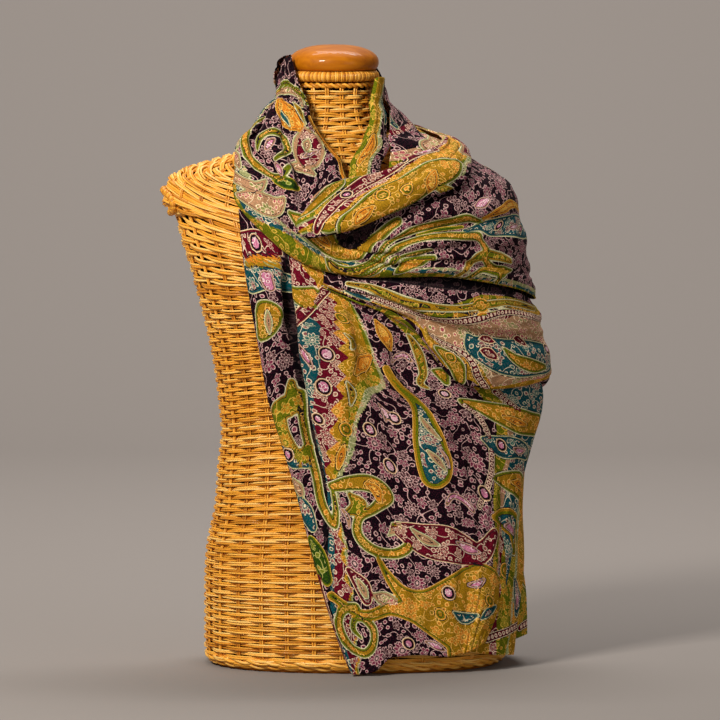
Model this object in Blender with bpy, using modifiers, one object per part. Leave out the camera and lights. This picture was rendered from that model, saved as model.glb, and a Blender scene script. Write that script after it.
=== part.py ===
"""A pashmina shawl worn on a limbless wicker dress form.

The shawl is one length of cloth. It is modelled as one wall for each stretch that shows: the ends
that hang in front, the fall beside the neck, the wrap behind it and the roll on its other side, the swag
across the chest, the drape over the shoulder with the belly below it, and the fall down the back.
Tables are in millimetres and degrees. The form stands on z = 0 and faces -Y.
"""

import math

import bmesh
import bpy
import numpy as np

MM = 0.001

# Cloth
WALL = 1.6  # thickness of the modelled cloth wall
CLOTH_OFF_FORM = 1.2  # least distance from the cloth to the form
SEAM = 0.02  # share of a column left open where one stretch runs on into the next

# Dress form
TORSO_TOP = 663.7
RING_MIDDLE_RADIUS = 45.5
RING_CANE_RADIUS = 6.0
RING_HEIGHT = 670.0
CAP_BASE = 676.3
NECK_X = -24.5
TORSO_SEGMENTS = 44

# Roundness of the level sections: 2 is an ellipse, and a higher number is squarer.
FORM_ROUNDNESS = 2.3
DRAPE_ROUNDNESS = 2.2

# Level sections of the torso, and on up over the ring and the cap, which the cloth also stays clear of
FORM_SECTIONS = (
    # height, centre x, half width, half depth
    (0, 0, 160, 116),
    (4, 0, 168, 122),
    (14, 0, 173, 127),
    (56, -1, 172, 127),
    (88, -2, 171, 125),
    (130, -4, 167, 120),
    (183, -6, 155, 110),
    (225, -8, 150, 102),
    (268, -10, 144, 97),
    (300, -12, 145, 98),
    (345, -14, 149, 104),
    (391, -16, 157, 112),
    (437, -19, 166, 116),
    (459, -20, 171, 116),
    (480, -21, 177, 114),
    (511, -23, 183, 104),
    (516, -23, 190, 102),
    (529, -24, 197, 94),
    (542, -24, 194, 86),
    (553, -25, 189, 79),
    (563, -25, 175, 72),
    (576, -25, 135, 62),
    (586, -25, 102, 57),
    (596, -25, 78, 54),
    (608, -24, 60, 52),
    (619, -24, 51, 49),
    (630, -24, 46, 46),
    (648, -24, 44, 44),
    (662, -24, 46, 46),
    (664, -24, 51, 51),
    (676, -24, 52, 52),
    (690, -24, 52, 52),
    (699, -24, 44, 44),
    (705, -24, 20, 20),
)

# Level sections of the smooth shape that the cloth as a whole has before its folds
DRAPE_SECTIONS = (
    # height, centre x, half width, half depth
    (0, -12, 206, 135),
    (74, -12, 205, 134),
    (123, -12, 201, 128),
    (172, -12, 199, 120),
    (208, -12, 201, 114),
    (258, -12, 211, 110),
    (294, -12, 221, 110),
    (323, -12, 225, 112),
    (349, -12, 223, 114),
    (390, -12, 217, 119),
    (438, -13, 207, 122),
    (482, -14, 201, 121),
    (515, -17, 198, 112),
    (542, -20, 191, 98),
    (561, -21, 166, 86),
    (575, -22, 149, 78),
    (590, -22, 131, 72),
    (603, -23, 100, 66),
    (625, -24, 75, 60),
    (642, -24, 58, 56),
    (665, -25, 55, 54),
    (688, -25, 53, 53),
    (712, -25, 52, 52),
)

# Each stretch of cloth is a table of its folds, one row a fold, in order across the cloth. The columns
# are the places that every fold runs through, as (turn, height, lift). Turn is the angle round the form:
# -90 is the front, 0 the side under the shoulder drape, 90 or -270 the back and -180 the other side.
# Lift is the distance out of the drape's smooth shape. Where a row takes two lines, so does its heading.
FRONT_END_FOLDS = (
    # fold           top               pinch             waist
    #                hip               thigh             hem
    ("left hem",     (-123, 523, 1),   (-121, 464, 2),   (-113, 359, 2),
                     (-108, 268, 2),   (-100, 152, 2),   (-89, 8, 3)),
    ("left ridge",   (-118, 516, 1),   (-115, 456, 9),   (-110, 367, 9),
                     (-106, 270, 9),   (-98, 152, 8),    (-88, 2, 10)),
    ("strip edge",   (-112, 498, 1),   (-108, 450, 9),   (-107, 373, 8),
                     (-104, 276, 6),   (-96, 156, 5),    (-87, 2, 8)),
    ("left crease",  (-109, 491, 1),   (-106, 445, 1.5), (-104, 370, 2),
                     (-100, 280, 3),   (-93, 157, 5),    (-85, 2, 5)),
    ("panel ridge",  (-105, 479, 1),   (-103, 433, 9),   (-98, 369, 17),
                     (-93, 277, 16),   (-88, 154, 11),   (-82, 6, 8)),
    ("panel",        (-101, 469, 1),   (-96, 422, 8),    (-90, 366, 14),
                     (-85, 283, 12),   (-77, 160, 8),    (-77, 21, 6)),
    ("panel crease", (-97, 461, 1),    (-90, 417, 3),    (-84, 347, 3.5),
                     (-77, 275, 5),    (-67, 157, 6),    (-69, 23, 6)),
    ("slant ridge",  (-93, 454, 1),    (-87, 413, 4),    (-79, 341, 14),
                     (-63, 276, 15),   (-57, 161, 11),   (-59, 20, 8)),
    ("slant crease", (-89, 445, 1),    (-83, 409, 3),    (-71, 341, 5),
                     (-54, 278, 6),    (-48, 160, 6),    (-53, 22, 6)),
    ("right ridge",  (-81, 441, 1),    (-75, 405, 3),    (-49, 348, 0),
                     (-33, 275, 9),    (-36, 153, 11),   (-48, 27, 8)),
    ("right fold",   (-75, 438, 1),    (-65, 400, 2),    (-24, 345, -1),
                     (-11, 289, 7),    (-23, 142, 6),    (-43, 33, 6)),
)

FRONT_END_SECOND_LAYER_FOLDS = (
    # fold           belly             hip               thigh             hem
    ("inner hem",    (-55, 308, 1),    (-48, 194, 1.2),  (-49, 104, 1.2),  (-50, 24, 1.2)),
    ("ridge",        (-42, 307, 3),    (-31, 192, 4),    (-35, 91, 4),     (-38, 18, 4)),
    ("outer fold",   (-16, 291, 1),    (0, 162, 3.2),    (-18, 76, 3.2),   (-25, 15, 3.2)),
)

SIDE_END_FOLDS = (
    # fold           belly             waist             hip               thigh             hem
    ("inner hem",    (-35, 323, -10),  (-26, 274, -6),   (-16, 189, -2.7), (-18, 98, -2.7),  (-16, 31, -4)),
    ("ridge",        (-8, 326, -8),    (-8, 278, -3),    (-8, 200, -4),    (-8, 110, 1.2),   (-8, 34, 3)),
    ("crease",       (4, 328, -12),    (8, 278, -8),     (9, 200, -7),     (10, 110, -5),    (10, 32, -3)),
    ("rear ridge",   (14, 330, -10),   (20, 278, -5),    (24, 200, -1),    (27, 110, 1),     (30, 30, 1)),
    ("rear hem",     (24, 332, -12),   (30, 278, -8),    (36, 200, -6),    (42, 110, -5),    (46, 28, -5)),
)

LEFT_NECK_FALL_FOLDS = (
    # fold           top               throat            chest
    #                breast            turn              pinch
    ("inner hem",    (-152, 692, 1),   (-116, 639, 3),   (-92, 589, 4),
                     (-88, 562, 5),    (-87, 531, 6),    (-88, 504, 6)),
    ("inner ridge",  (-149, 692, 5),   (-116, 632, 12),  (-95, 581, 14),
                     (-91, 549, 13),   (-90, 522, 10),   (-88, 495, 8)),
    ("inner crease", (-168, 688, 3),   (-123, 630, 8),   (-98, 577, 10),
                     (-94, 541, 9),    (-91, 514, 8),    (-88, 489, 7)),
    ("second ridge", (-169, 682, 6),   (-128, 627, 12),  (-101, 572, 14),
                     (-97, 532, 12),   (-93, 503, 10),   (-88, 484, 9)),
    ("second crease",(-180, 677, 4),   (-136, 625, 9),   (-105, 570, 10),
                     (-100, 529, 9),   (-94, 495, 8),    (-88, 480, 7)),
    ("middle ridge", (-180, 670, 8),   (-137, 620, 17),  (-107, 562, 18),
                     (-103, 522, 17),  (-96, 487, 12),   (-88, 475, 10)),
    ("middle crease",(-184, 664, 6),   (-152, 616, 9),   (-115, 563, 8),
                     (-108, 521, 6),   (-99, 483, 5),    (-88, 468, 5)),
    ("outer ridge",  (-189, 662, 8),   (-148, 607, 13),  (-120, 556, 15),
                     (-113, 514, 16),  (-100, 477, 17),  (-88, 458, 15)),
    ("rim",          (-194, 662, 7),   (-150, 601, 10),  (-126, 554, 9),
                     (-119, 518, 10),  (-102, 472, 13),  (-88, 451, 11)),
    ("outer hem",    (-199, 664, 4),   (-149, 598, 6),   (-128, 552, 3),
                     (-122, 523, 5),   (-104, 471, 8),   (-89, 451, 8)),
)

RIGHT_NECK_ROLL_FOLDS = (
    # fold           top               throat            chest             tuck
    ("inner hem",    (-36, 667, 2),    (-60, 625, 3),    (-82, 585, 3),    (-87.4, 549, 3)),
    ("ridge",        (-31, 669, 6),    (-57, 623, 9),    (-78, 581, 10),   (-84, 543, 9)),
    ("outer hem",    (0, 666, 2),      (-42, 625, 2),    (-69.6, 581, 2),  (-77, 548, 2)),
)

NECK_WRAP_FOLDS = (
    # fold           left              left back         nape
    #                right back        right             front
    ("top edge",     (-184, 690, 5),   (-225, 692, 3),   (-270, 690, 3),
                     (-315, 684, 3),   (-360, 652, 1),   (-360, 636, 1.5)),
    ("top ridge",    (-183, 684, 10),  (-225, 682, 9),   (-270, 678, 9),
                     (-315, 670, 8),   (-360, 638, 3),   (-397, 625, 3)),
    ("crease",       (-183, 677, 11),  (-225, 670, 4),   (-270, 662, 4),
                     (-315, 652, 3),   (-360, 625, 1.5), (-409, 610, 1.5)),
    ("low ridge",    (-185, 670, 13),  (-225, 654, 9),   (-270, 634, 12),
                     (-315, 632, 6),   (-360, 612, 2),   (-422, 595, 2)),
    ("low crease",   (-188, 663, 13),  (-225, 638, 2),   (-270, 596, 3),
                     (-315, 610, 2),   (-360, 603, 1),   (-428, 577, 1.5)),
    ("bottom",       (-194, 655, 10),  (-225, 620, -2),  (-270, 568, -2),
                     (-315, 592, 1),   (-360, 596, 1),   (-432, 558, 1.5)),
)

CHEST_SWAG_FOLDS = (
    # fold           turned under      left end          chest             front             shoulder
    #                over              back              blade             back hem
    ("top tuck",     (-90, 534, 20),   (-92, 539, 21),   (-87, 547, 20),   (-75, 556, 18),   (-51, 578, 14),
                     (-6, 597, 6),     (60, 588, 8),     (90, 420, 8),     (110, 240, 8)),
    ("top edge",     (-93, 524, 20),   (-97, 524, 26),   (-89, 542, 27),   (-76, 550, 28),   (-54, 575, 22),
                     (-5, 596, 8),     (59, 589, 12),    (88, 418, 14),    (108, 236, 14)),
    ("top crease",   (-96, 515, 20),   (-100, 513, 23),  (-89, 532, 23),   (-75, 546, 27),   (-53, 569, 23),
                     (-5, 595, 6),     (57, 584, 12),    (84, 415, 11),    (102, 234, 10)),
    ("stripe ridge", (-96, 507, 20),   (-102, 501, 28),  (-89, 518, 33),   (-75, 535, 37),   (-54, 558, 30),
                     (-4, 592, 7),     (54, 577, 15),    (78, 412, 16),    (96, 232, 17)),
    ("gold crest",   (-95, 501, 20),   (-101, 493, 28),  (-89, 505, 38),   (-74, 523, 41),   (-56, 546, 33),
                     (-3, 588, 8),     (50, 568, 16),    (71, 407, 15),    (87, 228, 14)),
    ("lower edge",   (-93, 498, 20),   (-99, 489, 25),   (-88, 496, 30),   (-73, 516, 30),   (-55, 534, 24),
                     (-2, 583, 9),     (46, 558, 13),    (65, 402, 14),    (80, 224, 14)),
    ("lower tuck",   (-92, 499, 19),   (-97, 491, 21),   (-88, 499, 21),   (-73, 521, 17),   (-54, 542, 13.2),
                     (-3, 586, 7),     (45, 560, 9),     (65, 403, 9),     (80, 224, 9)),
)

SHOULDER_DRAPE_FOLDS = (
    # fold           front             bust              side
    #                behind            blade             back hem
    ("inner hem",    (-75, 526, 9),    (-56, 539, 10.5), (-11, 579, 2.8),
                     (46, 562, 3),     (68, 400, 3),     (84, 215, 3)),
    ("inner ridge",  (-75, 500, 20),   (-56, 516, 19),   (-10, 530, 7),
                     (38, 515, 9),     (57, 382, 12),    (70, 207, 13)),
    ("inner crease", (-74, 490, 11),   (-53, 503, 10),   (0, 509, 3),
                     (34, 493, 5),     (53, 367, 5),     (65, 205, 4)),
    ("second ridge", (-74, 481, 20),   (-54, 488, 22),   (-10, 485, 8),
                     (31, 472, 13),    (49, 355, 14),    (60, 203, 15)),
    ("second crease",(-72, 472, 13),   (-52, 479, 14),   (0, 466, 4),
                     (28, 452, 5),     (45, 344, 5),     (55, 201, 5)),
    ("middle ridge", (-72, 465, 18),   (-52, 469, 20),   (-6, 453, 7),
                     (26, 436, 12),    (41, 334, 13),    (50, 200, 14)),
    ("middle crease",(-71, 461, 14),   (-51, 461, 16),   (0, 441, 4),
                     (24, 425, 6),     (38, 328, 6),     (46, 199, 5)),
    ("outer ridge",  (-72, 456, 18),   (-52, 455, 19),   (-8, 430, 8),
                     (22, 414, 10),    (35, 322, 10),    (42, 198, 12)),
    ("rim",          (-73, 452, 14),   (-53, 449, 14),   (-6, 419, 6),
                     (21, 407, 6),     (33, 318, 6),     (39, 198, 7)),
    ("outer hem",    (-74, 449, 10),   (-54, 446, 10),   (0, 415, 5),
                     (20, 403, 4),     (32, 316, 4),     (38, 198, 4)),
)

BELLY_DRAPE_FOLDS = (
    # fold           pinch             gather            front             bust
    #                side              behind            blade             back hem
    ("upper tuck",   (-95, 451, 4),    (-89, 454, 2),    (-73, 453, 1),    (-53, 445, 1.5),
                     (0, 413, -1),     (18, 404, -1),    (31, 317, 0),     (37, 199, 0)),
    ("upper ridge",  (-95, 445, 9),    (-89, 437, 12),   (-76, 429, 19),   (-59, 402, 24),
                     (-9, 394, 8),     (18, 386, 10),    (29, 309, 12),    (34, 197, 13)),
    ("upper crease", (-95, 443, 7),    (-88, 433, 10),   (-75, 421, 15),   (-57, 386, 16),
                     (0, 372, 4),      (16, 364, 4),     (26, 301, 5),     (31, 196, 5)),
    ("lower ridge",  (-95, 441, 9),    (-88, 428, 12),   (-74, 410, 18),   (-57, 369, 25),
                     (0, 354, 9),      (14, 346, 11),    (23, 293, 12),    (28, 196, 13)),
    ("rim",          (-94, 439, 9),    (-87, 425, 11),   (-72, 399, 18),   (-56, 346, 27),
                     (0, 336, 9),      (12, 331, 10),    (20, 287, 10),    (24, 196, 10)),
    ("lower fold",   (-94, 437, 8),    (-87, 422, 10),   (-71, 389, 16),   (-56, 327, 20),
                     (-11, 325, 8),    (11, 320, 7),     (18, 284, 7),     (21, 197, 6)),
    ("lower tuck",   (-95, 438, 6),    (-87, 422, 7),    (-72, 391, 9),    (-57, 330, 12),
                     (-21, 325, 6),    (10, 322, 4),     (17, 286, 4),     (20, 199, 3)),
)

# The neck fall runs on into the shoulder drape and the fall down the back, fold by fold.
OVER_SHOULDER_FOLDS = tuple(
    fall + drape[1:] for fall, drape in zip(LEFT_NECK_FALL_FOLDS, SHOULDER_DRAPE_FOLDS)
)

# node, folds, steps along each fold, steps from fold to fold, first and last column, colour
STRETCHES = (
    ("front_end", FRONT_END_FOLDS, 25, 3, 0.0, 5.0, (0.30, 0.26, 0.08)),
    ("front_end_second_layer", FRONT_END_SECOND_LAYER_FOLDS, 12, 3, 0.0, 3.0, (0.28, 0.20, 0.12)),
    ("side_end", SIDE_END_FOLDS, 12, 2, 0.0, 4.0, (0.24, 0.16, 0.12)),
    ("left_neck_fall", OVER_SHOULDER_FOLDS, 22, 3, 0.0, 5.0, (0.34, 0.24, 0.22)),
    ("right_neck_roll", RIGHT_NECK_ROLL_FOLDS, 12, 3, 0.0, 3.0, (0.40, 0.30, 0.10)),
    ("neck_wrap", NECK_WRAP_FOLDS, 20, 2, 0.0, 5.0, (0.30, 0.12, 0.16)),
    ("chest_swag", CHEST_SWAG_FOLDS, 30, 2, 0.0, 8.0, (0.50, 0.32, 0.08)),
    ("shoulder_drape", OVER_SHOULDER_FOLDS, 16, 3, 5.0, 8.6, (0.32, 0.22, 0.20)),
    ("back_fall", OVER_SHOULDER_FOLDS, 10, 2, 8.6, 11.0, (0.26, 0.20, 0.16)),
    ("belly_drape", BELLY_DRAPE_FOLDS, 27, 2, 0.0, 7.0, (0.36, 0.20, 0.22)),
)


def clear_scene():
    for obj in list(bpy.data.objects):
        bpy.data.objects.remove(obj, do_unlink=True)


def new_collection(name):
    collection = bpy.data.collections.new(name)
    bpy.context.scene.collection.children.link(collection)
    return collection


def material(name, colour, roughness, metallic=0.0):
    made = bpy.data.materials.new(name)
    made.use_nodes = True
    shader = made.node_tree.nodes["Principled BSDF"]
    shader.inputs["Base Color"].default_value = (*colour, 1.0)
    shader.inputs["Roughness"].default_value = roughness
    shader.inputs["Metallic"].default_value = metallic
    return made


def steady_slopes(knots, values):
    """Slopes for a curve that never passes its knots, so a ridge or a valley keeps its own height."""
    rise = np.diff(values, axis=0) / np.diff(knots)[:, None]
    before, after = rise[:-1], rise[1:]
    same_way = before * after > 0
    total = np.where(same_way, before + after, 1.0)
    slopes = np.zeros_like(values)
    slopes[0], slopes[-1] = rise[0], rise[-1]
    slopes[1:-1] = np.where(same_way, 2 * before * after / total, 0.0)
    return slopes


def flowing_slopes(knots, values):
    """Slopes for a curve that runs on smoothly through its knots."""
    return np.gradient(values, knots, axis=0)


def read_curve(knots, values, places, slopes_of):
    """The cubic curve through the values at the knots, read at each place."""
    knots = np.asarray(knots, float)
    values = np.asarray(values, float)
    slopes = slopes_of(knots, values)
    index = np.clip(np.searchsorted(knots, places, side="right") - 1, 0, len(knots) - 2)
    span = (knots[index + 1] - knots[index])[:, None]
    t = np.clip((places - knots[index])[:, None] / span, 0.0, 1.0)
    start = (2 * t**3 - 3 * t**2 + 1) * values[index] + (t**3 - 2 * t**2 + t) * span * slopes[index]
    end = (3 * t**2 - 2 * t**3) * values[index + 1] + (t**3 - t**2) * span * slopes[index + 1]
    return start + end


def section_at(sections, height):
    """Centre x, half width and half depth at each height."""
    table = np.array(sections, float)
    read = read_curve(table[:, 0], table[:, 1:], height.ravel(), steady_slopes)
    return [column.reshape(height.shape) for column in read.T]


def how_far_out(sections, roundness, points):
    """1 on the surface that the sections make, less inside it and more outside."""
    centre, width, depth = section_at(sections, points[..., 2])
    across = np.abs((points[..., 0] - centre) / width) ** roundness
    return (across + np.abs(points[..., 1] / depth) ** roundness) ** (1 / roundness)


def outward_slope(sections, roundness, points):
    """How fast how_far_out grows along X, Y and Z."""
    slope = np.zeros_like(points)
    for axis, step in enumerate(np.eye(3) * 0.5):
        ahead = how_far_out(sections, roundness, points + step)
        slope[..., axis] = ahead - how_far_out(sections, roundness, points - step)
    return slope


def superellipse(angle, roundness):
    """Cosine and sine of an angle on a unit superellipse."""
    cosine, sine = np.cos(angle), np.sin(angle)
    power = 2 / roundness
    return np.sign(cosine) * np.abs(cosine) ** power, np.sign(sine) * np.abs(sine) ** power


def on_drape(turn, height, lift):
    """Points of the cloth from turn, height and lift."""
    centre, width, depth = section_at(DRAPE_SECTIONS, height)
    across, along = superellipse(np.radians(turn), DRAPE_ROUNDNESS)
    points = np.stack([centre + width * across, depth * along, height], axis=-1)
    out = outward_slope(DRAPE_SECTIONS, DRAPE_ROUNDNESS, points)
    level_part = np.hypot(out[..., 0], out[..., 1])
    out[..., 2] = np.clip(out[..., 2], -1.2 * level_part, 1.2 * level_part)
    out /= np.linalg.norm(out, axis=-1, keepdims=True)
    return points + out * lift[..., None]


def push_clear_of_form(points, gap):
    """Moves points that are nearer the form than the gap straight out from it."""
    for _ in range(8):
        slope = outward_slope(FORM_SECTIONS, FORM_ROUNDNESS, points)
        steepness = np.maximum(np.linalg.norm(slope, axis=-1), 1e-6)
        distance = (how_far_out(FORM_SECTIONS, FORM_ROUNDNESS, points) - 1) / steepness
        push = np.clip(gap - distance, 0.0, 12.0)
        points = points + slope / steepness[..., None] * push[..., None]
    return points


def sheet_points(folds, places_along, places_across):
    """Points of the inner face of a stretch, as an array of rows across by columns along."""
    cells = np.array([row[1:] for row in folds], float)
    fold_count, station_count = cells.shape[:2]
    along = read_curve(
        np.arange(station_count),
        cells.transpose(1, 0, 2).reshape(station_count, -1),
        places_along,
        flowing_slopes,
    )
    along = along.reshape(len(places_along), fold_count, 3).transpose(1, 0, 2)
    across = read_curve(
        np.arange(fold_count),
        along.reshape(fold_count, -1),
        places_across,
        steady_slopes,
    )
    turn, height, lift = across.reshape(len(places_across), len(places_along), 3).transpose(2, 0, 1)
    return push_clear_of_form(on_drape(turn, height, lift), CLOTH_OFF_FORM)


def add_object(collection, name, mesh, made_of):
    obj = bpy.data.objects.new(name, mesh)
    mesh.materials.append(made_of)
    mesh.shade_smooth()
    collection.objects.link(obj)
    return obj


def add_stretch(collection, name, folds, steps_along, steps_between, first, last, colour):
    """One stretch of cloth: a grid bent to its folds and given its wall."""
    gap = SEAM if first > 0 else 0.0
    places_along = np.linspace(first + gap, last, steps_along + 1)
    steps_across = steps_between * (len(folds) - 1)
    places_across = np.linspace(0, len(folds) - 1, steps_across + 1)
    points = sheet_points(folds, places_along, places_across)

    grid = bmesh.new()
    bmesh.ops.create_grid(grid, x_segments=steps_along, y_segments=steps_across, size=1.0)
    for vert in grid.verts:
        column = round((vert.co.x + 1) / 2 * steps_along)
        row = round((vert.co.y + 1) / 2 * steps_across)
        vert.co = points[row, column] * MM
    grid.normal_update()
    facing_out = sum(face.normal.dot(face.calc_center_median()) for face in grid.faces)
    if facing_out < 0:
        bmesh.ops.reverse_faces(grid, faces=grid.faces)
    mesh = bpy.data.meshes.new(name)
    grid.to_mesh(mesh)
    grid.free()

    cloth = add_object(collection, name, mesh, material(name, colour, 0.85))
    wall = cloth.modifiers.new("Cloth wall", "SOLIDIFY")
    wall.thickness = WALL * MM
    wall.offset = 1.0
    wall.use_quality_normals = True
    return cloth


def add_torso(collection):
    """The woven torso as one smooth closed loft through its level sections."""
    heights = [row[0] for row in FORM_SECTIONS if row[0] < TORSO_TOP - 1] + [TORSO_TOP]
    angles = np.linspace(0, 2 * math.pi, TORSO_SEGMENTS, endpoint=False)
    height, angle = np.meshgrid(np.array(heights, float), angles, indexing="ij")
    centre, width, depth = section_at(FORM_SECTIONS, height)
    across, along = superellipse(angle, FORM_ROUNDNESS)
    rings = np.stack([centre + width * across, depth * along, height], axis=-1)

    loft = bmesh.new()
    verts = [[loft.verts.new(point * MM) for point in ring] for ring in rings]
    for lower, upper in zip(verts, verts[1:]):
        for k in range(TORSO_SEGMENTS):
            after = (k + 1) % TORSO_SEGMENTS
            loft.faces.new((lower[k], lower[after], upper[after], upper[k]))
    loft.faces.new(verts[0][::-1])
    loft.faces.new(verts[-1])
    mesh = bpy.data.meshes.new("torso")
    loft.to_mesh(mesh)
    loft.free()
    return add_object(collection, "torso", mesh, material("wicker", (0.62, 0.36, 0.12), 0.55))


def add_neck_ring(collection):
    """The cane ring bound round the top of the neck."""
    bpy.ops.mesh.primitive_torus_add(
        major_radius=RING_MIDDLE_RADIUS * MM,
        minor_radius=RING_CANE_RADIUS * MM,
        major_segments=40,
        minor_segments=8,
        location=(NECK_X * MM, 0.0, RING_HEIGHT * MM),
    )
    ring = bpy.context.object
    ring.name = "neck_ring"
    ring.data.materials.append(material("cane", (0.70, 0.42, 0.15), 0.5))
    ring.data.shade_smooth()
    for holder in list(ring.users_collection):
        holder.objects.unlink(ring)
    collection.objects.link(ring)
    return ring


def add_neck_cap(collection):
    """The turned wooden cap on the ring: a low dome with a rounded edge."""
    profile = (
        # radius, height above the ring
        (0.0, 28.7),
        (18.0, 28.0),
        (33.0, 25.0),
        (44.0, 20.0),
        (49.5, 14.5),
        (51.0, 9.0),
        (50.0, 4.0),
        (46.5, 0.0),
        (0.0, 0.0),
    )
    mesh = bpy.data.meshes.new("neck_cap")
    points = [(radius * MM, 0.0, height * MM) for radius, height in profile]
    edges = [(k, k + 1) for k in range(len(points) - 1)]
    mesh.from_pydata(points, edges, [])
    cap = add_object(collection, "neck_cap", mesh, material("varnished wood", (0.55, 0.22, 0.05), 0.25))
    cap.location = (NECK_X * MM, 0.0, CAP_BASE * MM)
    turned = cap.modifiers.new("Turned", "SCREW")
    turned.steps = 40
    turned.render_steps = 40
    turned.use_merge_vertices = True
    turned.merge_threshold = 0.0001
    return cap


def main():
    clear_scene()
    collection = new_collection("pashmina shawl on a dress form")
    add_torso(collection)
    add_neck_ring(collection)
    add_neck_cap(collection)
    for stretch in STRETCHES:
        add_stretch(collection, *stretch)


main()
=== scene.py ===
# %% [markdown]
# # A pashmina shawl worn on a wicker dress form
# The shawl is one length of fine wool cloth with a paisley design. It goes round the neck, over one
# shoulder and across the chest, and its ends hang in front. Under it stands a torso woven from
# split cane, with a bound ring at the neck and a turned wooden cap.
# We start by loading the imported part. Its frame says where each piece has to be, in metres.

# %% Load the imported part
import math

import bpy
import numpy as np
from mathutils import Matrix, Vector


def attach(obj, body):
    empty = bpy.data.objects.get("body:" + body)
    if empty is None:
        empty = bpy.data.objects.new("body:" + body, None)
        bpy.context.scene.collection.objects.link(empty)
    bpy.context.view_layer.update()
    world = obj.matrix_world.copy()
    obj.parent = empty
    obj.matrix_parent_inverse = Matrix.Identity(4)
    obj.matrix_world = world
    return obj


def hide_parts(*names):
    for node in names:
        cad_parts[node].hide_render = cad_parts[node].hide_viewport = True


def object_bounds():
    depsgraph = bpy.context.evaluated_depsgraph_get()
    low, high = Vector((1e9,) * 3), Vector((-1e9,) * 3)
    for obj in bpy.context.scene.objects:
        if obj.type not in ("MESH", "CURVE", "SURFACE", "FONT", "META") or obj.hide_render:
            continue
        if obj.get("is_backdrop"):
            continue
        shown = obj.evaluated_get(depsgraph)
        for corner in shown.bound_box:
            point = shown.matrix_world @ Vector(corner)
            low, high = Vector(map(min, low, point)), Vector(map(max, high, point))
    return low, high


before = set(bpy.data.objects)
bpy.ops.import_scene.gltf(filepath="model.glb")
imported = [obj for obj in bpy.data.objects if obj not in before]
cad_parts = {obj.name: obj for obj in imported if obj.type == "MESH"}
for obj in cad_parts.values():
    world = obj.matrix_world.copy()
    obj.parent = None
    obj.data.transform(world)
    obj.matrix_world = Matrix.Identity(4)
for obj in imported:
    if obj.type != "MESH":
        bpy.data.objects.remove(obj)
cad_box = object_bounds()
print("solids in the part:", len(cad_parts))

# %% [markdown]
# The camera comes first, because it decides what has to look right from close by. A long lens from
# eight metres away gives almost no perspective, as in a catalogue picture. The light is soft: one
# large panel high on the left, a weaker one on the right, a strip over the top, one more for the wall
# behind, and a pale world. Lengths in this cell are metres, as in the scene.

# %% Camera, floor and lights
MM = 0.001  # a millimetre, in metres
CAMERA_PLACE = (0.0051, -8.0, 0.98)
CAMERA_DIP = 4.535  # degrees below level
LENS, SENSOR = 352.0, 36.0  # millimetres
FLOOR_FRONT, FLOOR_BACK = -6.0, 2.6
BEND = 1.6  # radius of the curve between floor and wall
WALL_TOP = 7.0
SWEEP_SIDE = 9.0  # from the middle to either side

PANELS = (
    # name, place, aimed at, width, height, watts, colour
    ("key panel", (-1.45, -2.2, 2.05), (0.0, 0.0, 0.33), 0.65, 0.65, 94.0, (1.0, 0.96, 0.90)),
    ("fill panel", (2.2, -2.6, 1.0), (0.0, 0.0, 0.4), 1.8, 1.8, 10.0, (0.96, 0.97, 1.0)),
    ("top strip", (0.2, 0.8, 2.2), (0.0, 0.0, 0.5), 1.4, 0.6, 16.0, (1.0, 0.99, 0.97)),
    ("wall panel", (0.0, 1.2, 3.6), (0.0, 4.2, 1.2), 3.0, 1.0, 142.0, (1.0, 0.98, 0.96)),
)
bpy.context.scene.view_settings.view_transform = "Standard"


def add_camera():
    lens = bpy.data.cameras.new("camera")
    lens.sensor_width = SENSOR
    lens.lens = LENS
    lens.clip_end = 50.0
    camera = bpy.data.objects.new("camera", lens)
    camera.location = CAMERA_PLACE
    camera.rotation_euler = (math.radians(90 - CAMERA_DIP), 0.0, 0.0)
    bpy.context.scene.collection.objects.link(camera)
    bpy.context.scene.camera = camera


def add_panel_light(name, location, aim, width, height, watts, colour):
    light = bpy.data.lights.new(name, "AREA")
    light.shape = "RECTANGLE"
    light.size, light.size_y = width, height
    light.energy = watts
    light.color = colour
    panel = bpy.data.objects.new(name, light)
    panel.location = location
    away = np.array(location) - np.array(aim)
    flat = math.hypot(away[0], away[1])
    panel.rotation_euler = (math.atan2(flat, away[2]), 0.0, math.atan2(away[0], -away[1]))
    bpy.context.scene.collection.objects.link(panel)


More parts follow.
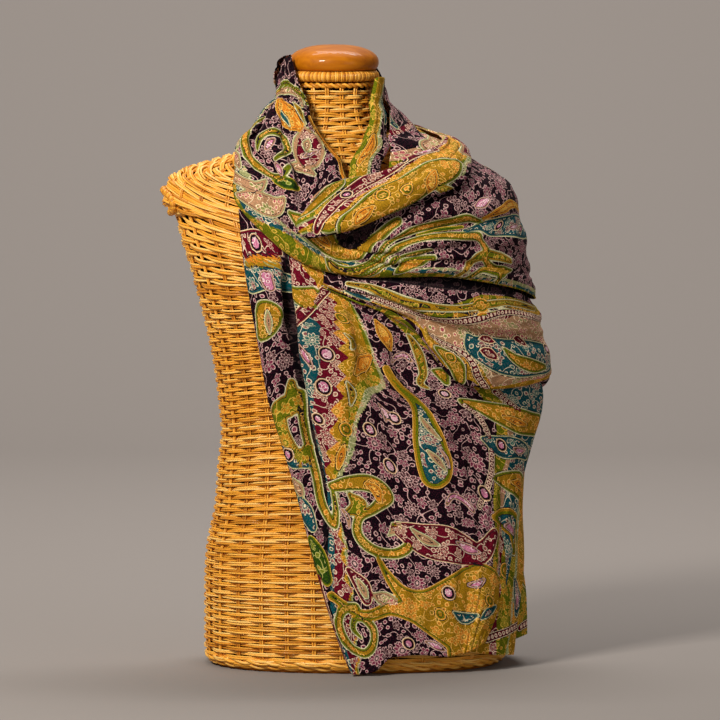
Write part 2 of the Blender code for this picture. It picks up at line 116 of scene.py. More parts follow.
def add_sweep():
    """A floor that runs up into a wall behind, with no line between them. From behind, the wall is clear."""
    profile = [(FLOOR_FRONT, 0.0), (FLOOR_BACK, 0.0)]
    for angle in np.linspace(0.1, math.pi / 2, 12):
        profile.append((FLOOR_BACK + BEND * math.sin(angle), BEND - BEND * math.cos(angle)))
    profile.append((FLOOR_BACK + BEND, WALL_TOP))
    verts = [(x, y, z) for x in (-SWEEP_SIDE, SWEEP_SIDE) for y, z in profile]
    count = len(profile)
    faces = [(k, count + k, count + k + 1, k + 1) for k in range(count - 1)]
    mesh = bpy.data.meshes.new("sweep")
    mesh.from_pydata(verts, [], faces)
    mesh.shade_smooth()
    sweep = bpy.data.objects.new("sweep", mesh)
    paint = bpy.data.materials.new("matt grey paint")
    paint.use_nodes = True
    shader = paint.node_tree.nodes["Principled BSDF"]
    shader.inputs["Base Color"].default_value = (0.28, 0.25, 0.23, 1.0)
    shader.inputs["Roughness"].default_value = 0.95
    shader.inputs["Specular IOR Level"].default_value = 0.1
    nodes, links = paint.node_tree.nodes, paint.node_tree.links
    side = nodes.new("ShaderNodeNewGeometry")
    clear = nodes.new("ShaderNodeBsdfTransparent")
    either = nodes.new("ShaderNodeMixShader")
    links.new(side.outputs["Backfacing"], either.inputs[0])
    links.new(shader.outputs[0], either.inputs[1])
    links.new(clear.outputs[0], either.inputs[2])
    links.new(either.outputs[0], nodes["Material Output"].inputs["Surface"])
    mesh.materials.append(paint)
    bpy.context.scene.collection.objects.link(sweep)
    sweep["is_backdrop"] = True


def add_world():
    world = bpy.data.worlds.new("studio")
    world.use_nodes = True
    background = world.node_tree.nodes["Background"]
    background.inputs["Color"].default_value = (1.0, 0.98, 0.95, 1.0)
    background.inputs["Strength"].default_value = 0.16
    bpy.context.scene.world = world


add_camera()
add_sweep()
add_world()
for panel in PANELS:
    add_panel_light(*panel)
print("camera", tuple(round(x, 3) for x in bpy.context.scene.camera.location))

# %% [markdown]
# The part is described by level sections, in millimetres. One set is the woven form and the other is
# the smooth shape that the cloth as a whole has before its folds. Both are the ones the solids
# were made with, so everything made here lands on the solids with no fitting.

# %% Level sections of the form and of the drape
CLOTH_OFF_FORM = 1.2
# Roundness of the level sections: 2 is an ellipse, and a higher number is squarer.
FORM_ROUNDNESS = 2.3
DRAPE_ROUNDNESS = 2.2

# Level sections of the torso, and on up over the ring and the cap, which the cloth also stays clear of
FORM_SECTIONS = (
    # height, centre x, half width, half depth
    (0, 0, 160, 116),
    (4, 0, 168, 122),
    (14, 0, 173, 127),
    (56, -1, 172, 127),
    (88, -2, 171, 125),
    (130, -4, 167, 120),
    (183, -6, 155, 110),
    (225, -8, 150, 102),
    (268, -10, 144, 97),
    (300, -12, 145, 98),
    (345, -14, 149, 104),
    (391, -16, 157, 112),
    (437, -19, 166, 116),
    (459, -20, 171, 116),
    (480, -21, 177, 114),
    (511, -23, 183, 104),
    (516, -23, 190, 102),
    (529, -24, 197, 94),
    (542, -24, 194, 86),
    (553, -25, 189, 79),
    (563, -25, 175, 72),
    (576, -25, 135, 62),
    (586, -25, 102, 57),
    (596, -25, 78, 54),
    (608, -24, 60, 52),
    (619, -24, 51, 49),
    (630, -24, 46, 46),
    (648, -24, 44, 44),
    (662, -24, 46, 46),
    (664, -24, 51, 51),
    (676, -24, 52, 52),
    (690, -24, 52, 52),
    (699, -24, 44, 44),
    (705, -24, 20, 20),
)

# Level sections of the smooth shape that the cloth as a whole has before its folds
DRAPE_SECTIONS = (
    # height, centre x, half width, half depth
    (0, -12, 206, 135),
    (74, -12, 205, 134),
    (123, -12, 201, 128),
    (172, -12, 199, 120),
    (208, -12, 201, 114),
    (258, -12, 211, 110),
    (294, -12, 221, 110),
    (323, -12, 225, 112),
    (349, -12, 223, 114),
    (390, -12, 217, 119),
    (438, -13, 207, 122),
    (482, -14, 201, 121),
    (515, -17, 198, 112),
    (542, -20, 191, 98),
    (561, -21, 166, 86),
    (575, -22, 149, 78),
    (590, -22, 131, 72),
    (603, -23, 100, 66),
    (625, -24, 75, 60),
    (642, -24, 58, 56),
    (665, -25, 55, 54),
    (688, -25, 53, 53),
    (712, -25, 52, 52),
)
print("level sections:", len(FORM_SECTIONS), "of the form,", len(DRAPE_SECTIONS), "of the drape")

# %% [markdown]
# A real shawl hangs in ridges and creases that run on from one end to the other. Each stretch of the
# cloth is therefore written down as a table of its folds. One row is one fold, followed along the cloth,
# and each column is a place that all the folds run through.

# %% The folds of the shawl
# Each stretch of cloth is a table of its folds, one row a fold, in order across the cloth. The columns
# are the places that every fold runs through, as (turn, height, lift). Turn is the angle round the form:
# -90 is the front, 0 the side under the shoulder drape, 90 or -270 the back and -180 the other side.
# Lift is the distance out of the drape's smooth shape. A heading names the columns of each table.
FRONT_END_FOLDS = (
    # fold, top, pinch, waist, hip, thigh, hem
    ("left hem", (-123, 523, 1), (-121, 464, 2), (-113, 359, 2),
     (-108, 268, 2), (-100, 152, 2), (-89, 8, 3)),
    ("left ridge", (-118, 516, 1), (-115, 456, 9), (-110, 367, 9),
     (-106, 270, 9), (-98, 152, 8), (-88, 2, 10)),
    ("strip edge", (-112, 498, 1), (-108, 450, 9), (-107, 373, 8),
     (-104, 276, 6), (-96, 156, 5), (-87, 2, 8)),
    ("left crease", (-109, 491, 1), (-106, 445, 1.5), (-104, 370, 2),
     (-100, 280, 3), (-93, 157, 5), (-85, 2, 5)),
    ("panel ridge", (-105, 479, 1), (-103, 433, 9), (-98, 369, 17),
     (-93, 277, 16), (-88, 154, 11), (-82, 6, 8)),
    ("panel", (-101, 469, 1), (-96, 422, 8), (-90, 366, 14),
     (-85, 283, 12), (-77, 160, 8), (-77, 21, 6)),
    ("panel crease", (-97, 461, 1), (-90, 417, 3), (-84, 347, 3.5),
     (-77, 275, 5), (-67, 157, 6), (-69, 23, 6)),
    ("slant ridge", (-93, 454, 1), (-87, 413, 4), (-79, 341, 14),
     (-63, 276, 15), (-57, 161, 11), (-59, 20, 8)),
    ("slant crease", (-89, 445, 1), (-83, 409, 3), (-71, 341, 5),
     (-54, 278, 6), (-48, 160, 6), (-53, 22, 6)),
    ("right ridge", (-81, 441, 1), (-75, 405, 3), (-49, 348, 0),
     (-33, 275, 9), (-36, 153, 11), (-48, 27, 8)),
    ("right fold", (-75, 438, 1), (-65, 400, 2), (-24, 345, -1),
     (-11, 289, 7), (-23, 142, 6), (-43, 33, 6)),
)

FRONT_END_SECOND_LAYER_FOLDS = (
    # fold, belly, hip, thigh, hem
    ("inner hem", (-55, 308, 1), (-48, 194, 1.2), (-49, 104, 1.2), (-50, 24, 1.2)),
    ("ridge", (-42, 307, 3), (-31, 192, 4), (-35, 91, 4), (-38, 18, 4)),
    ("outer fold", (-16, 291, 1), (0, 162, 3.2), (-18, 76, 3.2), (-25, 15, 3.2)),
)

SIDE_END_FOLDS = (
    # fold, belly, waist, hip, thigh, hem
    ("inner hem", (-35, 323, -10), (-26, 274, -6), (-16, 189, -2.7), (-18, 98, -2.7), (-16, 31, -4)),
    ("ridge", (-8, 326, -8), (-8, 278, -3), (-8, 200, -4), (-8, 110, 1.2), (-8, 34, 3)),
    ("crease", (4, 328, -12), (8, 278, -8), (9, 200, -7), (10, 110, -5), (10, 32, -3)),
    ("rear ridge", (14, 330, -10), (20, 278, -5), (24, 200, -1), (27, 110, 1), (30, 30, 1)),
    ("rear hem", (24, 332, -12), (30, 278, -8), (36, 200, -6), (42, 110, -5), (46, 28, -5)),
)

LEFT_NECK_FALL_FOLDS = (
    # fold, top, throat, chest, breast, turn, pinch
    ("inner hem", (-152, 692, 1), (-116, 639, 3), (-92, 589, 4),
     (-88, 562, 5), (-87, 531, 6), (-88, 504, 6)),
    ("inner ridge", (-149, 692, 5), (-116, 632, 12), (-95, 581, 14),
     (-91, 549, 13), (-90, 522, 10), (-88, 495, 8)),
    ("inner crease", (-168, 688, 3), (-123, 630, 8), (-98, 577, 10),
     (-94, 541, 9), (-91, 514, 8), (-88, 489, 7)),
    ("second ridge", (-169, 682, 6), (-128, 627, 12), (-101, 572, 14),
     (-97, 532, 12), (-93, 503, 10), (-88, 484, 9)),
    ("second crease", (-180, 677, 4), (-136, 625, 9), (-105, 570, 10),
     (-100, 529, 9), (-94, 495, 8), (-88, 480, 7)),
    ("middle ridge", (-180, 670, 8), (-137, 620, 17), (-107, 562, 18),
     (-103, 522, 17), (-96, 487, 12), (-88, 475, 10)),
    ("middle crease", (-184, 664, 6), (-152, 616, 9), (-115, 563, 8),
     (-108, 521, 6), (-99, 483, 5), (-88, 468, 5)),
    ("outer ridge", (-189, 662, 8), (-148, 607, 13), (-120, 556, 15),
     (-113, 514, 16), (-100, 477, 17), (-88, 458, 15)),
    ("rim", (-194, 662, 7), (-150, 601, 10), (-126, 554, 9),
     (-119, 518, 10), (-102, 472, 13), (-88, 451, 11)),
    ("outer hem", (-199, 664, 4), (-149, 598, 6), (-128, 552, 3),
     (-122, 523, 5), (-104, 471, 8), (-89, 451, 8)),
)

RIGHT_NECK_ROLL_FOLDS = (
    # fold, top, throat, chest, tuck
    ("inner hem", (-36, 667, 2), (-60, 625, 3), (-82, 585, 3), (-87.4, 549, 3)),
    ("ridge", (-31, 669, 6), (-57, 623, 9), (-78, 581, 10), (-84, 543, 9)),
    ("outer hem", (0, 666, 2), (-42, 625, 2), (-69.6, 581, 2), (-77, 548, 2)),
)

NECK_WRAP_FOLDS = (
    # fold, left, left back, nape, right back, right, front
    ("top edge", (-184, 690, 5), (-225, 692, 3), (-270, 690, 3),
     (-315, 684, 3), (-360, 652, 1), (-360, 636, 1.5)),
    ("top ridge", (-183, 684, 10), (-225, 682, 9), (-270, 678, 9),
     (-315, 670, 8), (-360, 638, 3), (-397, 625, 3)),
    ("crease", (-183, 677, 11), (-225, 670, 4), (-270, 662, 4),
     (-315, 652, 3), (-360, 625, 1.5), (-409, 610, 1.5)),
    ("low ridge", (-185, 670, 13), (-225, 654, 9), (-270, 634, 12),
     (-315, 632, 6), (-360, 612, 2), (-422, 595, 2)),
    ("low crease", (-188, 663, 13), (-225, 638, 2), (-270, 596, 3),
     (-315, 610, 2), (-360, 603, 1), (-428, 577, 1.5)),
    ("bottom", (-194, 655, 10), (-225, 620, -2), (-270, 568, -2),
     (-315, 592, 1), (-360, 596, 1), (-432, 558, 1.5)),
)

CHEST_SWAG_FOLDS = (
    # fold, turned under, left end, chest, front, shoulder, over, back, blade, back hem
    ("top tuck", (-90, 534, 20), (-92, 539, 21), (-87, 547, 20), (-75, 556, 18), (-51, 578, 14),
     (-6, 597, 6), (60, 588, 8), (90, 420, 8), (110, 240, 8)),
    ("top edge", (-93, 524, 20), (-97, 524, 26), (-89, 542, 27), (-76, 550, 28), (-54, 575, 22),
     (-5, 596, 8), (59, 589, 12), (88, 418, 14), (108, 236, 14)),
    ("top crease", (-96, 515, 20), (-100, 513, 23), (-89, 532, 23), (-75, 546, 27), (-53, 569, 23),
     (-5, 595, 6), (57, 584, 12), (84, 415, 11), (102, 234, 10)),
    ("stripe ridge", (-96, 507, 20), (-102, 501, 28), (-89, 518, 33), (-75, 535, 37), (-54, 558, 30),
     (-4, 592, 7), (54, 577, 15), (78, 412, 16), (96, 232, 17)),
    ("gold crest", (-95, 501, 20), (-101, 493, 28), (-89, 505, 38), (-74, 523, 41), (-56, 546, 33),
     (-3, 588, 8), (50, 568, 16), (71, 407, 15), (87, 228, 14)),
    ("lower edge", (-93, 498, 20), (-99, 489, 25), (-88, 496, 30), (-73, 516, 30), (-55, 534, 24),
     (-2, 583, 9), (46, 558, 13), (65, 402, 14), (80, 224, 14)),
    ("lower tuck", (-92, 499, 19), (-97, 491, 21), (-88, 499, 21), (-73, 521, 17), (-54, 542, 13.2),
     (-3, 586, 7), (45, 560, 9), (65, 403, 9), (80, 224, 9)),
)

SHOULDER_DRAPE_FOLDS = (
    # fold, front, bust, side, behind, blade, back hem
    ("inner hem", (-75, 526, 9), (-56, 539, 10.5), (-11, 579, 2.8),
     (46, 562, 3), (68, 400, 3), (84, 215, 3)),
    ("inner ridge", (-75, 500, 20), (-56, 516, 19), (-10, 530, 7),
     (38, 515, 9), (57, 382, 12), (70, 207, 13)),
    ("inner crease", (-74, 490, 11), (-53, 503, 10), (0, 509, 3),
     (34, 493, 5), (53, 367, 5), (65, 205, 4)),
    ("second ridge", (-74, 481, 20), (-54, 488, 22), (-10, 485, 8),
     (31, 472, 13), (49, 355, 14), (60, 203, 15)),
    ("second crease", (-72, 472, 13), (-52, 479, 14), (0, 466, 4),
     (28, 452, 5), (45, 344, 5), (55, 201, 5)),
    ("middle ridge", (-72, 465, 18), (-52, 469, 20), (-6, 453, 7),
     (26, 436, 12), (41, 334, 13), (50, 200, 14)),
    ("middle crease", (-71, 461, 14), (-51, 461, 16), (0, 441, 4),
     (24, 425, 6), (38, 328, 6), (46, 199, 5)),
    ("outer ridge", (-72, 456, 18), (-52, 455, 19), (-8, 430, 8),
     (22, 414, 10), (35, 322, 10), (42, 198, 12)),
    ("rim", (-73, 452, 14), (-53, 449, 14), (-6, 419, 6),
     (21, 407, 6), (33, 318, 6), (39, 198, 7)),
    ("outer hem", (-74, 449, 10), (-54, 446, 10), (0, 415, 5),
     (20, 403, 4), (32, 316, 4), (38, 198, 4)),
)

BELLY_DRAPE_FOLDS = (
    # fold, pinch, gather, front, bust, side, behind, blade, back hem
    ("upper tuck", (-95, 451, 4), (-89, 454, 2), (-73, 453, 1), (-53, 445, 1.5),
     (0, 413, -1), (18, 404, -1), (31, 317, 0), (37, 199, 0)),
    ("upper ridge", (-95, 445, 9), (-89, 437, 12), (-76, 429, 19), (-59, 402, 24),
     (-9, 394, 8), (18, 386, 10), (29, 309, 12), (34, 197, 13)),
    ("upper crease", (-95, 443, 7), (-88, 433, 10), (-75, 421, 15), (-57, 386, 16),
     (0, 372, 4), (16, 364, 4), (26, 301, 5), (31, 196, 5)),
    ("lower ridge", (-95, 441, 9), (-88, 428, 12), (-74, 410, 18), (-57, 369, 25),
     (0, 354, 9), (14, 346, 11), (23, 293, 12), (28, 196, 13)),
    ("rim", (-94, 439, 9), (-87, 425, 11), (-72, 399, 18), (-56, 346, 27),
     (0, 336, 9), (12, 331, 10), (20, 287, 10), (24, 196, 10)),
    ("lower fold", (-94, 437, 8), (-87, 422, 10), (-71, 389, 16), (-56, 327, 20),
     (-11, 325, 8), (11, 320, 7), (18, 284, 7), (21, 197, 6)),
    ("lower tuck", (-95, 438, 6), (-87, 422, 7), (-72, 391, 9), (-57, 330, 12),
     (-21, 325, 6), (10, 322, 4), (17, 286, 4), (20, 199, 3)),
)

# The neck fall runs on into the shoulder drape and the fall down the back, fold by fold.
OVER_SHOULDER_FOLDS = tuple(
    fall + drape[1:] for fall, drape in zip(LEFT_NECK_FALL_FOLDS, SHOULDER_DRAPE_FOLDS)
)
print("folds over the shoulder:", len(OVER_SHOULDER_FOLDS))

# %% [markdown]
# Two kinds of curve join the numbers of a table. Along a fold the curve flows through its places, as
# cloth does. From one fold to the next it never passes the numbers, so a ridge keeps its height and
# two layers that lie close don't cut into each other.

# %% Curves through a table


def steady_slopes(knots, values):
    """Slopes for a curve that never passes its knots, so a ridge or a valley keeps its own height."""
    rise = np.diff(values, axis=0) / np.diff(knots)[:, None]
    before, after = rise[:-1], rise[1:]
    same_way = before * after > 0
    total = np.where(same_way, before + after, 1.0)
    slopes = np.zeros_like(values)
    slopes[0], slopes[-1] = rise[0], rise[-1]
    slopes[1:-1] = np.where(same_way, 2 * before * after / total, 0.0)
    return slopes


def flowing_slopes(knots, values):
    """Slopes for a curve that runs on smoothly through its knots."""
    return np.gradient(values, knots, axis=0)


def read_curve(knots, values, places, slopes_of):
    """The cubic curve through the values at the knots, read at each place."""
    knots = np.asarray(knots, float)
    values = np.asarray(values, float)
    slopes = slopes_of(knots, values)
    index = np.clip(np.searchsorted(knots, places, side="right") - 1, 0, len(knots) - 2)
    span = (knots[index + 1] - knots[index])[:, None]
    t = np.clip((places - knots[index])[:, None] / span, 0.0, 1.0)
    start = (2 * t**3 - 3 * t**2 + 1) * values[index] + (t**3 - 2 * t**2 + t) * span * slopes[index]
    end = (3 * t**2 - 2 * t**3) * values[index + 1] + (t**3 - t**2) * span * slopes[index + 1]
    return start + end


def section_at(sections, height):
    """Centre x, half width and half depth at each height."""
    table = np.array(sections, float)
    read = read_curve(table[:, 0], table[:, 1:], np.ravel(height), steady_slopes)
    return [column.reshape(np.shape(height)) for column in read.T]


def how_far_out(sections, roundness, points):
    """1 on the surface that the sections make, less inside it and more outside."""
    centre, width, depth = section_at(sections, points[..., 2])
    across = np.abs((points[..., 0] - centre) / width) ** roundness
    return (across + np.abs(points[..., 1] / depth) ** roundness) ** (1 / roundness)


def outward_slope(sections, roundness, points):
    """How fast how_far_out grows along X, Y and Z, for each millimetre."""
    slope = np.zeros_like(points)
    for axis, step in enumerate(np.eye(3) * 0.5):
        ahead = how_far_out(sections, roundness, points + step)
        slope[..., axis] = ahead - how_far_out(sections, roundness, points - step)
    return slope


def unit(vectors):
    """The same directions, each 1 long."""
    return vectors / np.linalg.norm(vectors, axis=-1, keepdims=True)


def superellipse(angle, roundness):
    """Cosine and sine of an angle on a unit superellipse."""
    cosine, sine = np.cos(angle), np.sin(angle)
    power = 2 / roundness
    return np.sign(cosine) * np.abs(cosine) ** power, np.sign(sine) * np.abs(sine) ** power


trial = read_curve([0, 1, 2], [[0], [4], [4]], np.array([0.5]), steady_slopes)
print("curves ready, and one of them reads", trial[0, 0])

# %% [markdown]
# A place on the cloth is first a turn round the form, a height and a lift. Here it becomes a point in
# space. Then any point that comes too near the woven form is pushed straight out of it, as a hand
# would feel the torso through the cloth.

# %% From a fold table to points
STEEPEST_LIFT = 1.2  # how far a lift may lean up or down, for each millimetre outward
PUSH_ROUNDS, LARGEST_PUSH = 8, 12.0
ROUGH_COLUMNS, ROUGH_ROWS = 121, 12  # the first, rough grid: over its length, and for each fold


def on_drape(turn, height, lift):
    """Points of the cloth from turn, height and lift."""
    centre, width, depth = section_at(DRAPE_SECTIONS, height)
    across, along = superellipse(np.radians(turn), DRAPE_ROUNDNESS)
    points = np.stack([centre + width * across, depth * along, height], axis=-1)
    out = outward_slope(DRAPE_SECTIONS, DRAPE_ROUNDNESS, points)
    level_part = np.hypot(out[..., 0], out[..., 1])
    out[..., 2] = np.clip(out[..., 2], -STEEPEST_LIFT * level_part, STEEPEST_LIFT * level_part)
    return points + unit(out) * lift[..., None]


def push_clear_of_form(points, gap):
    """Moves points that are nearer the form than the gap straight out from it."""
    for _ in range(PUSH_ROUNDS):
        slope = outward_slope(FORM_SECTIONS, FORM_ROUNDNESS, points)
        steepness = np.maximum(np.linalg.norm(slope, axis=-1), 1e-6)
        distance = (how_far_out(FORM_SECTIONS, FORM_ROUNDNESS, points) - 1) / steepness
        push = np.clip(gap - distance, 0.0, LARGEST_PUSH)
        points = points + slope / steepness[..., None] * push[..., None]
    return points


def sheet_points(folds, places_along, places_across):
    """Points of the inner face of a stretch, as an array of rows across by columns along."""
    cells = np.array([row[1:] for row in folds], float)
    fold_count, station_count = cells.shape[:2]
    along = read_curve(
        np.arange(station_count),
        cells.transpose(1, 0, 2).reshape(station_count, -1),
        places_along,
        flowing_slopes,
    )
    along = along.reshape(len(places_along), fold_count, 3).transpose(1, 0, 2)
    across = read_curve(
        np.arange(fold_count),
        along.reshape(fold_count, -1),
        places_across,
        steady_slopes,
    )
    turn, height, lift = across.reshape(len(places_across), len(places_along), 3).transpose(2, 0, 1)
    return push_clear_of_form(on_drape(turn, height, lift), CLOTH_OFF_FORM)


def steps_between(points, axis):
    """Distance from each point to the next along an axis of the array."""
    return np.linalg.norm(np.diff(points, axis=axis), axis=-1)


def run_of(steps):
    """How far along each place is, from the length of each step."""
    return np.concatenate([[0.0], np.cumsum(steps)])


def even_places(places, lengths, spacing):
    """Places spread at an even spacing along the cloth, and how far along each one is, in millimetres."""
    run = run_of(lengths)
    count = max(2, math.ceil(run[-1] / spacing))
    wanted = np.linspace(0.0, run[-1], count + 1)
    return np.interp(wanted, run, places), wanted


def lay_out(folds, first, last, spacing):
    """Points of a stretch on an even grid, with two rulers of the flat cloth: along it and across it."""
    along = np.linspace(first, last, ROUGH_COLUMNS)
    across = np.linspace(0, len(folds) - 1, ROUGH_ROWS * (len(folds) - 1) + 1)
    rough = sheet_points(folds, along, across)
    widest = steps_between(rough, 0).sum(axis=0).argmax()
    places_along, ruler_along = even_places(along, steps_between(rough, 1).mean(axis=0), spacing)
    places_across, ruler_across = even_places(across, steps_between(rough, 0)[:, widest], spacing)
    points = sheet_points(folds, places_along, places_across)
    u, v = np.meshgrid(ruler_along, ruler_across)
    return points, u, v


def run_across(points):
    """How far each point is from the first edge, across the cloth and over its folds, in millimetres."""
    return np.cumsum(np.pad(steps_between(points, 0), ((1, 0), (0, 0))), axis=0)


def out_of_sheet(points):
    """Unit vectors square to the cloth, on its outer side."""
    normal = np.cross(np.gradient(points, axis=1), np.gradient(points, axis=0))
    normal /= np.maximum(np.linalg.norm(normal, axis=-1, keepdims=True), 1e-9)
    out = outward_slope(DRAPE_SECTIONS, DRAPE_ROUNDNESS, points)
    return normal * np.sign((normal * out).sum(axis=-1).sum())


_, test_u, test_v = lay_out(CHEST_SWAG_FOLDS, 0.0, 8.0, 20.0)
print("the swag laid flat is", round(test_u.max()), "mm long and", round(test_v.max()), "mm across")

# %% [markdown]
# Between the main folds fine wool keeps many softer ones: short creases that start at a gather and
# fade out. They are straight strokes on the flat cloth, each with its own place, width and depth,
# placed where the cloth is pulled. A very low ripple keeps the rest from looking like sheet metal.

# %% Soft creases between the folds
RIPPLES, RIPPLE_HEIGHT = 14, 0.11
LONG_WAVES, CROSS_WAVES = (60, 200), (14, 44)  # shortest and longest, along the cloth and across it


def soft_strokes(u, v, strokes):
    """Height of soft creases. A stroke is (from along, from across, to along, to across, width, height)."""
    height = np.zeros_like(u)
    for from_u, from_v, to_u, to_v, width, depth in strokes:
        run_u, run_v = to_u - from_u, to_v - from_v
        length_squared = run_u**2 + run_v**2
        share = ((u - from_u) * run_u + (v - from_v) * run_v) / length_squared
        away = np.hypot(u - from_u - share * run_u, v - from_v - share * run_v)
        fade = np.clip(share, 0, 1) * np.clip(1 - share, 0, 1) * 4
        height += depth * np.sqrt(fade) * np.exp(-((away / width) ** 2))
    return height


def low_ripple(u, v, seed):
    """A few long, low waves that run roughly along the cloth."""
    draw = np.random.default_rng(seed)
    height = np.zeros_like(u)
    for _ in range(RIPPLES):
        wave_u, wave_v = draw.uniform(*LONG_WAVES), draw.uniform(*CROSS_WAVES)
        phase, slant = draw.uniform(0, 2 * math.pi), draw.uniform(-0.25, 0.25)
        height += np.sin(2 * math.pi * (u / wave_u + (v + slant * u) / wave_v) + phase)
    return RIPPLE_HEIGHT * height


print(RIPPLES, "ripples, each", RIPPLE_HEIGHT, "mm high")

# %% [markdown]
# The cloth is a closed shell 0.9 mm thick: the grid of points twice, once pushed out along the cloth's
# own direction, with a narrow wall round the edge. Making it from arrays is quick, and it lets each
# point carry its place on the flat cloth, which the woven design and the thread relief are read from.

# %% The cloth as a closed shell
CLOTH = 0.9


def add_numbers(mesh, name, values, domain="POINT"):
    """Keeps one number, or one vector, for each point or each face of the mesh."""
    values = np.asarray(values, np.float32)
    kind, key = ("FLOAT", "value") if values.ndim == 1 else ("FLOAT_VECTOR", "vector")
    mesh.attributes.new(name, kind, domain).data.foreach_set(key, values.ravel())


def mesh_from_arrays(name, points, face_sets):
    """A smooth mesh from points in millimetres and arrays of faces, each array with its own corner count."""
    mesh = bpy.data.meshes.new(name)
    loops = np.concatenate([faces.ravel() for faces in face_sets]).astype(np.int32)
    sizes = np.concatenate([np.full(len(faces), faces.shape[1]) for faces in face_sets])
    mesh.vertices.add(len(points))
    mesh.vertices.foreach_set("co", (np.asarray(points) * MM).astype(np.float32).ravel())
    mesh.loops.add(len(loops))
    mesh.loops.foreach_set("vertex_index", loops)
    mesh.polygons.add(len(sizes))
    mesh.polygons.foreach_set("loop_start", (np.cumsum(sizes) - sizes).astype(np.int32))
    mesh.update(calc_edges=True)
    mesh.shade_smooth()
    return mesh


def grid_faces(rows, columns):
    """Faces of a grid of points that is stored row after row."""
    corner = (np.arange(rows - 1)[:, None] * columns + np.arange(columns - 1)).ravel()
    return np.stack([corner, corner + 1, corner + columns + 1, corner + columns], axis=1)


def lapped_faces(index, turned=False):
    """Quads between rings of points, each row of the index one ring. Turned, they face the other way."""
    after = np.roll(index, -1, axis=1)
    corners = [index[:-1], after[:-1], after[1:], index[1:]]
    if turned:
        corners[1], corners[3] = corners[3], corners[1]
    return np.stack(corners, axis=-1).reshape(-1, 4)


def shell(name, inner, outer):
    """A closed shell between two grids of points."""
    rows, columns = inner.shape[:2]
    index = np.arange(rows * columns).reshape(rows, columns)
    rim = np.concatenate([index[0, :-1], index[:-1, -1], index[-1, :0:-1], index[:0:-1, 0]])
    after = np.roll(rim, -1)
    count = rows * columns
    face = grid_faces(rows, columns)
    wall = np.stack([rim, after, after + count, rim + count], axis=1)
    faces = np.concatenate([face[:, ::-1], face + count, wall])
    points = np.concatenate([inner.reshape(-1, 3), outer.reshape(-1, 3)])
    edge_a, edge_b = outer[0, 1] - outer[0, 0], outer[1, 0] - outer[0, 0]
    if np.cross(edge_a, edge_b) @ (outer - inner)[0, 0] < 0:
        faces = faces[:, ::-1]
    return mesh_from_arrays(name, points, [faces])


def show(name, mesh, body="root"):
    """Puts a mesh in the scene as a piece that moves with a body of the part."""
    piece = bpy.data.objects.new(name, mesh)
    bpy.context.scene.collection.objects.link(piece)
    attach(piece, body)
    return piece


print("a cloth shell is", CLOTH, "mm thick")

# %% [markdown]
# The design is a paisley of the traditional kind. Bands of colour run along the cloth, and over them
# lie botehs, hooks, scrolls and rows of rings. Each is a stroke: a smooth line through a few places,
# with its own width at each. The ground between them is strewn with ringed flowers later, in the finish.
# First come the dyes, and the dresses: which borders and which fill a stroke has. One near-black
# ground, and the dress made only of it, are painted shade laid in the deepest valleys, not dyes.

# %% Grounds, and how a stroke is dressed
GROUNDS = {
    # name: ground, flower, other flower, outline
    "plum": ((0.004, 0.002, 0.004), (0.18, 0.016, 0.052), (0.04, 0.003, 0.010), (0.66, 0.41, 0.38)),
    "olive": ((0.120, 0.145, 0.004), (0.48, 0.20, 0.012), (0.24, 0.22, 0.012), (0.70, 0.42, 0.06)),
    "gold": ((0.34, 0.180, 0.008), (0.60, 0.20, 0.014), (0.22, 0.15, 0.004), (0.88, 0.47, 0.10)),
    "teal": ((0.001, 0.072, 0.085), (0.24, 0.06, 0.07), (0.02, 0.13, 0.11), (0.74, 0.64, 0.44)),
    "burgundy": ((0.120, 0.003, 0.013), (0.26, 0.03, 0.04), (0.36, 0.14, 0.10), (0.80, 0.58, 0.42)),
    "mint": ((0.31, 0.32, 0.13), (0.46, 0.26, 0.12), (0.14, 0.20, 0.05), (0.72, 0.64, 0.38)),
    "tan": ((0.44, 0.24, 0.12), (0.46, 0.08, 0.10), (0.24, 0.25, 0.06), (0.90, 0.68, 0.42)),
    "pink": ((0.58, 0.19, 0.30), (0.66, 0.36, 0.42), (0.42, 0.07, 0.16), (0.86, 0.68, 0.66)),
    "orange": ((0.64, 0.21, 0.018), (0.72, 0.34, 0.035), (0.44, 0.20, 0.02), (0.84, 0.52, 0.11)),
    "leaf": ((0.020, 0.060, 0.004), (0.15, 0.18, 0.012), (0.34, 0.20, 0.018), (0.44, 0.42, 0.11)),
    # painted shade: a near-black ground laid where the cloth lies in deep shadow, not a dye of the shawl
    "painted shade": ((0.003, 0.002, 0.003), (0.030, 0.010, 0.016), (0.020, 0.008, 0.010), (0.060, 0.036, 0.034)),
}
GROUND_NAMES = tuple(GROUNDS)

